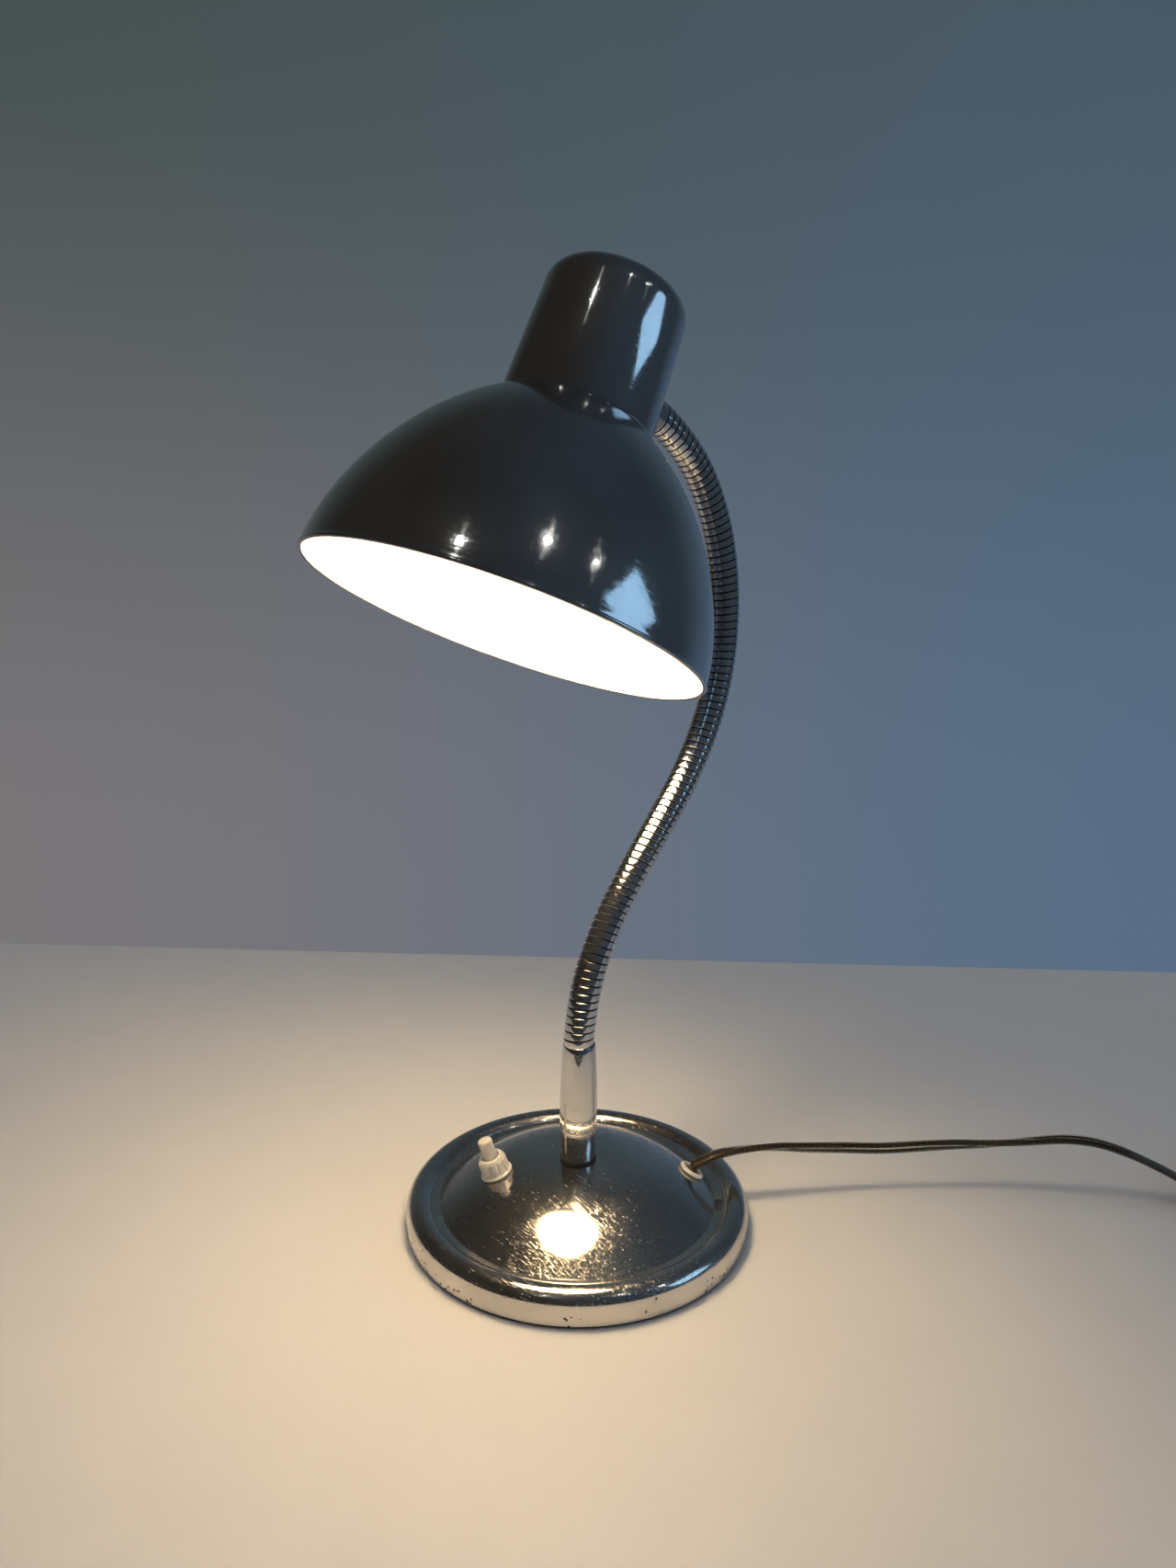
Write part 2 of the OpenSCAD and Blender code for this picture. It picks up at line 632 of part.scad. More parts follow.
module shade() color(chrome) at_head() {
  top = shade_h - shade_wall;
  outside = [for (i = [0:shade_steps]) let (z = top * i / shade_steps) [shade_x(z), z]];
  flange = [[shade_top_r - 0.5, shade_h], [flange_hole_r, shade_h], [flange_hole_r, top]];
  inside = [for (i = [shade_steps:-1:0]) let (z = top * i / shade_steps) [shade_x_in(z), z]];
  rotate_extrude($fn = smooth) polygon(concat(outside, flange, inside));
  rotate_extrude($fn = smooth) translate([shade_r - shade_wall / 2, 0.1]) circle(r = bead_r, $fn = small);
}

module neck_sleeve() color(bright) difference() {
  at_fixing() difference() {
    translate([0, 0, cap_inner / 2]) cylinder(r = sleeve_r, h = neck_reach + skirt - cap_inner / 2, $fn = mid);
    translate([0, 0, neck_reach]) sphere(r = ball_r + ball_gap, $fn = mid);
    cylinder(r = neck_bore, h = neck_reach * 2, $fn = mid);
    cylinder(r = nipple_r + fit, h = neck_reach - ball_r - 2, $fn = mid);
  }
  at_head() rotate_extrude($fn = smooth) polygon(concat([[0, cap_z]], cap_side(fit)));
}

module upper_nipple() color(brass) at_fixing() translate([0, 0, bracket_y - nipple_in])
  bored(nipple_r, neck_reach - ball_r - 2.5 - bracket_y + nipple_in, nipple_bore);

module upper_nut() color(brass) at_fixing() translate([0, 0, bracket_y - bracket_t - upper_nut_t])
  hex_nut(upper_nut_t);

module holder_bracket() color(bright) at_head() difference() {
  union() {
    translate([-bracket_w / 2, bracket_y - bracket_t, fixing_z - bracket_tail])
      cube([bracket_w, bracket_t, bracket_z - fixing_z + bracket_tail]);
    translate([-bracket_w / 2, -bracket_tail, bracket_z - bracket_t])
      cube([bracket_w, bracket_y + bracket_tail, bracket_t]);
  }
  translate([0, 0, fixing_z]) rotate([-90, 0, 0]) cylinder(r = nipple_r + loose, h = cap_r * 2, $fn = mid);
  cylinder(r = holder_screw_r + fit, h = cap_top_z, $fn = small);
}

module holder_screw() color(brass) at_head() {
  low = bracket_z - bracket_t - holder_screw_l;
  translate([0, 0, bracket_z]) cylinder(r = holder_screw_head[0], h = holder_screw_head[1], $fn = small);
  translate([0, 0, low]) cylinder(r = holder_screw_r, h = bracket_z + past - low, $fn = small);
}

module lampholder() color(black) at_head() difference() {
  union() {
    translate([0, 0, holder_low]) cylinder(r = skirt_r, h = shade_h - holder_low + past, $fn = mid);
    translate([0, 0, shade_h]) cylinder(r = holder_shoulder_r, h = holder_shoulder_t, $fn = mid);
    translate([0, 0, shade_h]) cylinder(r = holder_r, h = holder_top - shade_h, $fn = mid);
    translate([0, 0, shade_h]) cylinder(r = holder_post_r, h = bracket_z - bracket_t - shade_h, $fn = mid);
  }
  translate([0, 0, holder_low - past])
    cylinder(r = skirt_r - skirt_t, h = bulb_seat_z - holder_low - past, $fn = mid);
  translate([0, 0, bulb_seat_z - 3 * past])
    cylinder(r = shell_r + shell_t + fit, h = socket_top - bulb_seat_z + 3 * past, $fn = mid);
  cylinder(r = holder_screw_r + fit, h = cap_top_z, $fn = small);
}

module holder_shell() color(brass) at_head() translate([0, 0, bulb_seat_z + 1])
  bored(shell_r + shell_t, socket_top - bulb_seat_z - 2, shell_r);

module holder_contact() color(brass) at_head()
  translate([-contact_size[0] / 2, -contact_size[1] / 2, socket_top - contact_size[2]]) cube(contact_size);

module holder_terminals() color(brass) at_head() for (x = [-1, 1]) translate([x * terminal_at, 0, holder_top]) {
  translate([-terminal_size[0] / 2, -terminal_size[1] / 2, 0]) cube(terminal_size);
  translate([0, 0, terminal_size[2]]) cylinder(r = terminal_screw[0], h = terminal_screw[1], $fn = small);
}

module shade_ring() color(black) at_head() translate([0, 0, clamp_ring_z]) difference() {
  bored(clamp_ring_r, clamp_ring_h, skirt_r + fit);
  for (i = [0:11]) rotate([0, 0, 30 * i]) translate([clamp_ring_r + 0.6, 0, -past])
    cylinder(r = clamp_ring_notch, h = clamp_ring_h + 2 * past, $fn = small);
}

// Radius of the glass above its widest place: u runs from 0 there to 1 at the screw cap
function glass_x(u) = glass_neck_r + (bulb_r - glass_neck_r) * (0.5 + 0.5 * cos(180 * pow(u, 0.9)));

module bulb_glass() color("#fff6dd") at_head() {
  r_in = bulb_r - glass_t;
  lower = [for (a = [-90:9:-9]) [bulb_r * cos(a), glass_mid + bulb_r * sin(a)]];
  upper = [for (i = [0:glass_steps]) let (u = i / glass_steps)
    [glass_x(u), glass_mid + (bulb_seat_z - glass_mid) * u]];
  inner_up = [for (i = [glass_steps:-1:0]) [upper[i][0] - glass_t, upper[i][1]]];
  inner_low = [for (a = [-9:-9:-90]) [r_in * cos(a), glass_mid + r_in * sin(a)]];
  rotate_extrude($fn = mid) polygon(concat(lower, upper, inner_up, inner_low));
}

module bulb_cap() color(bright) at_head() translate([0, 0, bulb_seat_z]) difference() {
  cylinder(r = bulb_cap_r, h = bulb_cap_l, $fn = mid);
  translate([0, 0, -past]) cylinder(r = bulb_cap_r - bulb_cap_t, h = bulb_cap_l, $fn = mid);
}

module bulb_contact() color(black) at_head() translate([0, 0, socket_top - bulb_contact_h])
  rotate_extrude($fn = small) polygon([
    [0, 0], [bulb_contact_r, 0], [5, bulb_contact_h - 1.8], [4.4, bulb_contact_h - 0.9], [0, bulb_contact_h - 0.8]
  ]);

// ---- Cord and plug ----

module cord_run() color(black) tube(concat([from_grommet(mouth), from_grommet(mouth + 3)], route), cord_r, 8);

module cord_coil() color(black) translate([coil_at[0], coil_at[1], coil_z]) rotate_extrude($fn = mid)
  polygon([
    [coil_mid_r - coil_half, 1], [coil_mid_r - coil_half + 1, 0], [coil_mid_r + coil_half - 1, 0],
    [coil_mid_r + coil_half, 1], [coil_mid_r + coil_half, coil_half * 2 - 1],
    [coil_mid_r + coil_half - 1, coil_half * 2], [coil_mid_r - coil_half + 1, coil_half * 2],
    [coil_mid_r - coil_half, coil_half * 2 - 1]
  ]);

module cord_tail() color(black) tube(tail, cord_r, 8);

module at_plug() translate([plug_at[0], plug_at[1], plug_t / 2]) rotate([-90, 0, 0]) children();

module at_pins() at_plug() for (x = [-1, 1]) translate([x * pin_gap / 2, 0, plug_l - pin_root]) children();

module plug_body() color(white_plastic) difference() {
  at_plug() hull() {
    for (x = [-1, 1]) translate([x * (plug_w - plug_t) / 2, 0, plug_l - plug_face])
      cylinder(r = plug_t / 2, h = plug_face, $fn = small);
    translate([0, plug_t / 2 - tail[len(tail) - 1][2], 0]) cylinder(r = cord_r, h = 1, $fn = small);
  }
  at_pins() cylinder(r = pin_r + fit, h = pin_root + past, $fn = small);
}

module plug_pins() color(bright) at_pins() {
  straight = pin_l + pin_root - pin_nose;
  cylinder(r = pin_r, h = straight, $fn = small);
  translate([0, 0, straight]) cylinder(r1 = pin_r, r2 = pin_r - pin_nose, h = pin_nose, $fn = small);
}

base_shell();
base_pad();
base_cover();
base_ballast();
cover_screws();
stem_nipple();
stem_nut();
stem_washer();
foot_washer();
lower_ferrule();
switch_body();
switch_collar();
switch_button();
switch_spring();
switch_terminals();
cord_grommet();
cord_clamp();
clamp_screws();
base_lead();
base_wires();
terminal_block();
terminal_screws();
cord_run();
cord_coil();
cord_tail();
plug_body();
plug_pins();
neck_wires();
link(1);  // link_01
link(2);  // link_02
link(3);  // link_03
link(4);  // link_04
link(5);  // link_05
link(6);  // link_06
link(7);  // link_07
link(8);  // link_08
link(9);  // link_09
link(10);  // link_10
link(11);  // link_11
link(12);  // link_12
neck_sleeve();
cap();
shade();
lampholder();
holder_shell();
holder_contact();
holder_terminals();
holder_bracket();
holder_screw();
upper_nipple();
upper_nut();
shade_ring();
bulb_glass();
bulb_cap();
bulb_contact();
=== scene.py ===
"""Dresses the frame of a gooseneck desk lamp: plated base, shade and cap, wound neck and twin lead."""

import json
import math

import bpy
from bpy.props import FloatProperty, FloatVectorProperty, PointerProperty
from mathutils import Matrix, Quaternion, Vector


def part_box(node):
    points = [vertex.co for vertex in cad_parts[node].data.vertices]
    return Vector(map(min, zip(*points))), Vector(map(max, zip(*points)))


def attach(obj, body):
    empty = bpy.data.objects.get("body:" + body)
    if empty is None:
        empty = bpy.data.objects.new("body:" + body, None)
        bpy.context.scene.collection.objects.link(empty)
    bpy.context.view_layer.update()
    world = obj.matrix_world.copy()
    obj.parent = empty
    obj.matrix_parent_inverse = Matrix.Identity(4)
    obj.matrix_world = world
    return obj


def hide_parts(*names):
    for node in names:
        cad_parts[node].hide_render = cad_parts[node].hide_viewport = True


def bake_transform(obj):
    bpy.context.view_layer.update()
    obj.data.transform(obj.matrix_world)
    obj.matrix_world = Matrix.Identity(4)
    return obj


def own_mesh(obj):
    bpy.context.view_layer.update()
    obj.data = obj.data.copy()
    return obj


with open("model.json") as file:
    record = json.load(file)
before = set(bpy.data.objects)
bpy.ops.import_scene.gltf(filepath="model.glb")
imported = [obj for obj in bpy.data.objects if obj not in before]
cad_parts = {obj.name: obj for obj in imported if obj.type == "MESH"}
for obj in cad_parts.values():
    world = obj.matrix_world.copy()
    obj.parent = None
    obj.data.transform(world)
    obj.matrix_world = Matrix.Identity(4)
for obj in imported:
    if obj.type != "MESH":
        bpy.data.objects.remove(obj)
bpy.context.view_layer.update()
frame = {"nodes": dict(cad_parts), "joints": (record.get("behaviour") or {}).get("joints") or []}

bl_info = {
    "name": "Gooseneck Desk Lamp",
    "version": (1, 0, 0),
    "blender": (4, 5, 0),
    "location": "3D View > Sidebar > Desk Lamp",
    "description": "Models and finishes a gooseneck desk lamp over its frame",
    "category": "Object",
}

MM = 0.001
JOINTS = {joint["name"]: joint for joint in frame["joints"]}
NECK_JOINTS = sorted((name for name in JOINTS if name[:4] in ("bend", "side")), key=lambda name: name[-2:])
PIVOTS = [Vector(JOINTS[name]["pos_m"]) for name in NECK_JOINTS]
BASE_LOW, BASE_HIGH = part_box("base_shell")
FERRULE_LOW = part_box("lower_ferrule")[0]

# Head: its axis leans back, and the neck meets it at the fixing
HEAD_LEAN = 25.0
NECK_REACH = 46.0 * MM
SHADE_TOP = 88.289 * MM
FIXING_HEIGHT = SHADE_TOP + 23.0 * MM
SHADE_FULLNESS = 1.7


# ---------------------------------------------------------------- sizes and colours


def length(name, description, default):
    """A size in metres that a user may change."""
    return FloatProperty(name=name, description=description, default=default, min=0.0,
                         unit="LENGTH", precision=5)


def colour(name, description, default):
    """A plain colour that a user may change."""
    return FloatVectorProperty(name=name, description=description, default=default, size=4,
                               min=0.0, max=1.0, subtype="COLOR")


class LampSizes(bpy.types.PropertyGroup):
    """Driving sizes of the lamp's visible pieces."""

    base_radius: length("Base radius", "Radius of the base", BASE_HIGH.x)
    rim_height: length("Rim height", "Height of the base's raised rim", 15.5 * MM)
    rim_round: length("Rim round", "Radius of the rim's round top", 6.5 * MM)
    groove_radius: length("Groove radius", "Radius of the groove round the dome", 65.5 * MM)
    groove_height: length("Groove height", "Height of the groove's bottom", 11.5 * MM)
    dome_height: length("Dome height", "Height of the base's domed middle", BASE_HIGH.z)
    neck_radius: length("Neck radius", "Radius of the wound neck", 7.0 * MM)
    neck_length: length("Neck length", "Length of the wound neck along its middle", 320.0 * MM)
    turn_pitch: length("Turn pitch", "Length of one turn of the neck's strip", 3.5556 * MM)
    shade_radius: length("Shade radius", "Radius of the shade's rim", 84.0 * MM)
    shade_rise: length("Shade rise", "Depth of the curve that the shade follows", 99.5 * MM)
    cap_radius: length("Cap radius", "Radius of the cap's lower edge", 32.0 * MM)
    cap_height: length("Cap height", "Height of the cap", 61.5 * MM)
    bulb_radius: length("Bulb radius", "Radius of the bulb", 27.5 * MM)
    strand_radius: length("Strand radius", "Radius of one strand of the twin lead", 1.6 * MM)
    lead_length: length("Lead length", "Length of the lead from the base to its plug", 1.8)


class LampColours(bpy.types.PropertyGroup):
    """Colours of the lamp's finishes."""

    plate: colour("Plate", "Old polished plate on the shade and cap", (0.46, 0.47, 0.49, 1.0))
    worn_plate: colour("Worn plate", "Duller plate on the base", (0.62, 0.60, 0.57, 1.0))
    bright_plate: colour("Bright plate", "Plate on the neck and ferrule", (0.66, 0.66, 0.67, 1.0))
    enamel: colour("Enamel", "White inside of the shade", (0.90, 0.88, 0.83, 1.0))
    glow: colour("Glow", "Light of the bulb", (1.0, 0.78, 0.49, 1.0))
    ivory: colour("Ivory", "Aged plastic of the switch, grommet and plug", (0.80, 0.74, 0.64, 1.0))
    strand: colour("Strand", "Metal strands in the lead", (0.090, 0.060, 0.028, 1.0))
    sheath: colour("Sheath", "Clear sheath of the lead", (0.95, 0.90, 0.76, 1.0))
    floor: colour("Floor", "Table top that the lamp stands on", (0.78, 0.76, 0.74, 1.0))
    backdrop: colour("Backdrop", "Wall of the dim room round the lamp", (0.16, 0.165, 0.18, 1.0))


def sizes():
    return bpy.context.scene.lamp_sizes


def colours():
    return bpy.context.scene.lamp_colours


# ---------------------------------------------------------------- modelling helpers


def select_only(*pieces):
    """Selects these objects and nothing else, in object mode."""
    if bpy.context.object and bpy.context.object.mode != "OBJECT":
        bpy.ops.object.mode_set(mode="OBJECT")
    bpy.ops.object.select_all(action="DESELECT")
    for piece in pieces:
        piece.select_set(True)
        bpy.context.view_layer.objects.active = piece


def added(name):
    """Names the object that an operator has just added."""
    piece = bpy.context.object
    piece.name = name
    piece.data.name = name
    return piece


def settle(piece, place=Matrix.Identity(4)):
    """Puts a piece in its place and moves that place into its mesh."""
    select_only(piece)
    piece.matrix_world = place
    bpy.context.view_layer.update()
    bpy.ops.object.transform_apply(location=True, rotation=True, scale=True)
    return piece


def soften(piece, degrees=35):
    """Smooth shading, with edges sharper than this left crisp."""
    select_only(piece)
    bpy.ops.object.shade_smooth_by_angle(angle=math.radians(degrees))


def mend(piece):
    """Merges doubled points and turns every face outwards."""
    select_only(piece)
    bpy.ops.object.mode_set(mode="EDIT")
    bpy.ops.mesh.select_all(action="SELECT")
    bpy.ops.mesh.remove_doubles(threshold=2e-6)
    bpy.ops.mesh.normals_make_consistent(inside=False)
    bpy.ops.object.mode_set(mode="OBJECT")


def drawn(name, outline):
    """One edge line in the XZ plane through (radius, height) points, extruded point by point."""
    select_only()
    bpy.ops.mesh.primitive_plane_add(size=0.001, location=(0, 0, 0))
    piece = added(name)
    bpy.ops.object.mode_set(mode="EDIT")
    bpy.ops.mesh.select_mode(type="VERT")
    bpy.ops.mesh.select_all(action="SELECT")
    bpy.ops.mesh.merge(type="CENTER")
    bpy.ops.transform.translate(value=(outline[0][0], 0, outline[0][1]))
    for here, there in zip(outline, outline[1:]):
        step = (there[0] - here[0], 0, there[1] - here[1])
        bpy.ops.mesh.extrude_region_move(TRANSFORM_OT_translate={"value": step})
    bpy.ops.object.mode_set(mode="OBJECT")
    return piece


def turned(name, outline, steps=128, crisp=35):
    """A piece turned about Z from an outline of (radius, height) points."""
    piece = drawn(name, outline)
    bpy.ops.object.mode_set(mode="EDIT")
    bpy.ops.mesh.select_all(action="SELECT")
    bpy.ops.mesh.spin(steps=steps, angle=math.tau, center=(0, 0, 0), axis=(0, 0, 1))
    mend(piece)
    soften(piece, crisp)
    return piece


def finish_with(piece, kind, **settings):
    """Adds a modifier and applies it."""
    select_only(piece)
    modifier = piece.modifiers.new(kind.title(), kind)
    for key, value in settings.items():
        setattr(modifier, key, value)
    bpy.ops.object.modifier_apply(modifier=modifier.name)


def rod(name, radius, low, high, sides=32):
    """A plain cylinder along Z, from low to high, to cut or to shape further."""
    select_only()
    bpy.ops.mesh.primitive_cylinder_add(vertices=sides, radius=radius, depth=high - low,
                                        location=(0, 0, (low + high) / 2))
    return added(name)


def pierce(piece, cutter):
    """Cuts one solid out of another."""
    finish_with(piece, "BOOLEAN", object=cutter, operation="DIFFERENCE", solver="EXACT")
    discard(cutter)


def notched(piece, first, out, radius, low, high, crisp):
    """Cuts twelve upright round notches into a ring: the first one's angle, and how far out they stand."""
    for i in range(12):
        notch = rod("cutter", radius, low, high, 16)
        angle = math.radians(first + 30 * i)
        notch.location.x = out * math.cos(angle)
        notch.location.y = out * math.sin(angle)
        settle(notch, notch.matrix_basis.copy())
        pierce(piece, notch)
    soften(piece, crisp)


def discard(piece):
    bpy.data.objects.remove(piece)


def dress(piece, body, slot, *materials, replaces=()):
    """Gives a finished piece its materials and its body, and hides the frame's pieces that it replaces."""
    piece.data.materials.clear()
    for material in materials:
        piece.data.materials.append(material)
    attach(piece, body)
    if replaces:
        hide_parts(*replaces)


def arc(middle, radius, start, end, count):
    """Points of an arc in an outline, angles in degrees."""
    angles = [math.radians(start + (end - start) * i / count) for i in range(count + 1)]
    return [(middle[0] + radius * math.cos(a), middle[1] + radius * math.sin(a)) for a in angles]


def in_mm(outline):
    """An outline in metres from one in millimetres."""
    return [(r * MM, z * MM) for r, z in outline]


def smoothstep(t):
    """A smooth rise from 0 to 1."""
    t = min(max(t, 0.0), 1.0)
    return t * t * (3 - 2 * t)


# ---------------------------------------------------------------- places

# Shape of the dome: how flat its middle is, and how it falls to the groove
DOME_POWER = 2.9
DOME_FALL = 1.15


def dome_height(radius):
    """Height of the base's dome at a distance from the stem."""
    size = sizes()
    inward = max(1 - min(radius / size.groove_radius, 1) ** DOME_POWER, 0)
    return size.groove_height + (size.dome_height - size.groove_height) * inward ** DOME_FALL


# The switch and the grommet stand on one line across the base, turned from +Y by this many degrees
WIRING_TURN = 32.5
SWITCH_OUT = 38.0 * MM
GROMMET_OUT = 55.0 * MM
HOLE_RADIUS = 5.2 * MM  # of the shell's holes for the switch and the grommet


def on_dome(out, turn):
    """A frame on the dome, +Z along its normal and +Y outwards, at a distance and a turn from +Y."""
    step = 0.5 * MM
    lean = math.atan((dome_height(out - step) - dome_height(out + step)) / (2 * step))
    return (Matrix.Rotation(math.radians(-turn), 4, "Z")
            @ Matrix.Translation((0, out, dome_height(out)))
            @ Matrix.Rotation(-lean, 4, "X"))


def head_place():
    """The head's own frame: the centre of the rim, +Z up the head's axis, the neck on its +Y side."""
    turn = Matrix.Rotation(math.radians(-HEAD_LEAN), 4, "X")
    outward = turn @ Vector((0, 1, 0))
    upward = turn @ Vector((0, 0, 1))
    middle = PIVOTS[-1] - outward * NECK_REACH - upward * FIXING_HEIGHT
    return Matrix.Translation(middle) @ turn


def fixing_place():
    """The frame of the neck's fixing: +Z from the cap's axis towards the neck."""
    return (head_place() @ Matrix.Translation((0, 0, FIXING_HEIGHT))
            @ Matrix.Rotation(math.radians(-90), 4, "X"))


def curve_through(points, ends, count):
    """A smooth line through points (Hermite), with given end directions and count steps a stretch."""
    headings = [ends[0]]
    for before, after in zip(points, points[2:]):
        headings.append((after - before).normalized())
    headings.append(ends[1])
    line = []
    for i, (a, b) in enumerate(zip(points, points[1:])):
        span = (b - a).length
        for k in range(count):
            t = k / count
            line.append(a * (2 * t ** 3 - 3 * t ** 2 + 1) + b * (3 * t ** 2 - 2 * t ** 3)
                        + headings[i] * span * (t ** 3 - 2 * t ** 2 + t)
                        + headings[i + 1] * span * (t ** 3 - t ** 2))
    return line + [points[-1]]


# ---------------------------------------------------------------- materials


class Finish:
    """A material under construction: its nodes, its shader and short ways to add and join nodes."""

    def __init__(self, name):
        self.material = bpy.data.materials.new(name)
        self.material.use_nodes = True
        self.tree = self.material.node_tree
        self.shader = self.tree.nodes["Principled BSDF"]

    def set(self, **values):
        for key, value in values.items():
            self.shader.inputs[key.replace("_", " ")].default_value = value
        return self

    def node(self, kind, **settings):
        return new_node(self.tree, kind, **settings)

    def join(self, source, target):
        self.tree.links.new(source, target)

    def feed(self, socket, source):
        self.tree.links.new(source, self.shader.inputs[socket])

    def group(self, tree, **values):
        node = self.tree.nodes.new("ShaderNodeGroup")
        node.node_tree = tree
        for key, value in values.items():
            node.inputs[key.replace("_", " ")].default_value = value
        return node

    def noise(self, scale, detail, roughness=0.5):
        """The value of a noise laid out in the piece's own place."""
        place = self.node("ShaderNodeTexCoord")
        cloud = self.node("ShaderNodeTexNoise", Scale=scale, Detail=detail, Roughness=roughness)
        self.join(place.outputs["Object"], cloud.inputs["Vector"])
        return cloud.outputs["Fac"]

    def clouded(self, source, tint, dark, low, high):
        """A colour from a darker tint to the tint itself, as a value goes from low to high."""
        darker = tuple(dark * c for c in tint[:3]) + (1.0,)
        return ramp(self.tree, source, (low, darker), (high, tuple(tint)))

    def bump(self, height, distance, strength):
        bump = self.node("ShaderNodeBump", Strength=strength, Distance=distance)
        self.join(height, bump.inputs["Height"])
        self.feed("Normal", bump.outputs["Normal"])


def new_node(tree, kind, **settings):
    """A node with its sockets or properties set by name."""
    node = tree.nodes.new(kind)
    for key, value in settings.items():
        title = key.replace("_", " ")
        if title in node.inputs:
            node.inputs[title].default_value = value
        else:
            setattr(node, key, value)
    return node


def new_group(name, inputs, outputs):
    """An empty shader node group with named sockets; inputs are (name, default)."""
    tree = bpy.data.node_groups.new(name, "ShaderNodeTree")
    for title, default in inputs:
        socket = tree.interface.new_socket(title, in_out="INPUT", socket_type="NodeSocketFloat")
        socket.default_value = default
    for title, kind in outputs:
        tree.interface.new_socket(title, in_out="OUTPUT", socket_type=kind)
    return tree, tree.nodes.new("NodeGroupInput"), tree.nodes.new("NodeGroupOutput")


def ramp(tree, source, *stops):
    """A colour ramp from (place, grey or colour) stops."""
    node = tree.nodes.new("ShaderNodeValToRGB")
    marks = node.color_ramp.elements
    while len(marks) < len(stops):
        marks.new(0.5)
    for mark, (place, shade) in zip(marks, stops):
        mark.position = place
        mark.color = (shade, shade, shade, 1) if isinstance(shade, (int, float)) else shade
    tree.links.new(source, node.inputs["Fac"])
    return node.outputs["Color"]


def arithmetic(tree, operation, a, b):
    """A maths node; a and b are sockets or plain numbers."""
    node = new_node(tree, "ShaderNodeMath", operation=operation)
    for socket, value in zip(node.inputs, (a, b)):
        if isinstance(value, (int, float)):
            socket.default_value = value
        else:
            tree.links.new(value, socket)
    return node.outputs[0]


def mixed(tree, factor, a, b):
    """A mix of two colours; each is a socket or a plain colour."""
    node = new_node(tree, "ShaderNodeMix", data_type="RGBA")
    tree.links.new(factor, node.inputs["Factor"])
    for title, value in (("A", a), ("B", b)):
        if isinstance(value, tuple):
            node.inputs[title].default_value = value
        else:
            tree.links.new(value, node.inputs[title])
    return node.outputs["Result"]


def hairline_scratches():
    """Node group: fine hairline scratches in three directions, and a soft haze."""
    tree, entry, exit_ = new_group(
        "hairline scratches", [("Scale", 60.0), ("Amount", 1.0), ("Haze", 0.06), ("Shine", 0.1)],
        [("Height", "NodeSocketFloat"), ("Roughness", "NodeSocketFloat")])
    place = tree.nodes.new("ShaderNodeTexCoord")
    total = None
    for turn in (0.3, 1.25, 2.3):
        mapping = new_node(tree, "ShaderNodeMapping")
        mapping.inputs["Rotation"].default_value = (turn, turn * 0.7, turn * 1.9)
        mapping.inputs["Scale"].default_value = (1.0, 14.0, 14.0)
        tree.links.new(place.outputs["Object"], mapping.inputs["Vector"])
        noise = new_node(tree, "ShaderNodeTexNoise", Detail=3.0, Roughness=0.6)
        tree.links.new(entry.outputs["Scale"], noise.inputs["Scale"])
        tree.links.new(mapping.outputs["Vector"], noise.inputs["Vector"])
        line = ramp(tree, noise.outputs["Fac"], (0.60, 0.0), (0.66, 1.0), (0.72, 0.0))
        total = line if total is None else arithmetic(tree, "ADD", total, line)
    scratches = arithmetic(tree, "MULTIPLY", total, entry.outputs["Amount"])
    tree.links.new(arithmetic(tree, "MULTIPLY", scratches, -1.0), exit_.inputs["Height"])
    cloud = new_node(tree, "ShaderNodeTexNoise", Scale=45.0, Detail=6.0, Roughness=0.65)
    tree.links.new(place.outputs["Object"], cloud.inputs["Vector"])
    haze = arithmetic(tree, "MULTIPLY", cloud.outputs["Fac"], entry.outputs["Haze"])
    worn = arithmetic(tree, "MULTIPLY", scratches, 0.13)
    rough = arithmetic(tree, "ADD", arithmetic(tree, "ADD", haze, worn), entry.outputs["Shine"])
    tree.links.new(rough, exit_.inputs["Roughness"])
    return tree


def specks():
    """Node group: small specks scattered in patches, for pits."""
    tree, entry, exit_ = new_group(
        "specks", [("Scale", 220.0), ("Size", 0.12), ("Amount", 0.5)], [("Mask", "NodeSocketFloat")])
    place = tree.nodes.new("ShaderNodeTexCoord")
    cells = new_node(tree, "ShaderNodeTexVoronoi")
    tree.links.new(place.outputs["Object"], cells.inputs["Vector"])
    tree.links.new(entry.outputs["Scale"], cells.inputs["Scale"])
    spot = arithmetic(tree, "LESS_THAN", cells.outputs["Distance"], entry.outputs["Size"])
    patches = new_node(tree, "ShaderNodeTexNoise", Scale=38.0, Detail=2.0)
    tree.links.new(place.outputs["Object"], patches.inputs["Vector"])
    where = arithmetic(tree, "LESS_THAN", patches.outputs["Fac"], entry.outputs["Amount"])
    tree.links.new(arithmetic(tree, "MULTIPLY", spot, where), exit_.inputs["Mask"])
    return tree


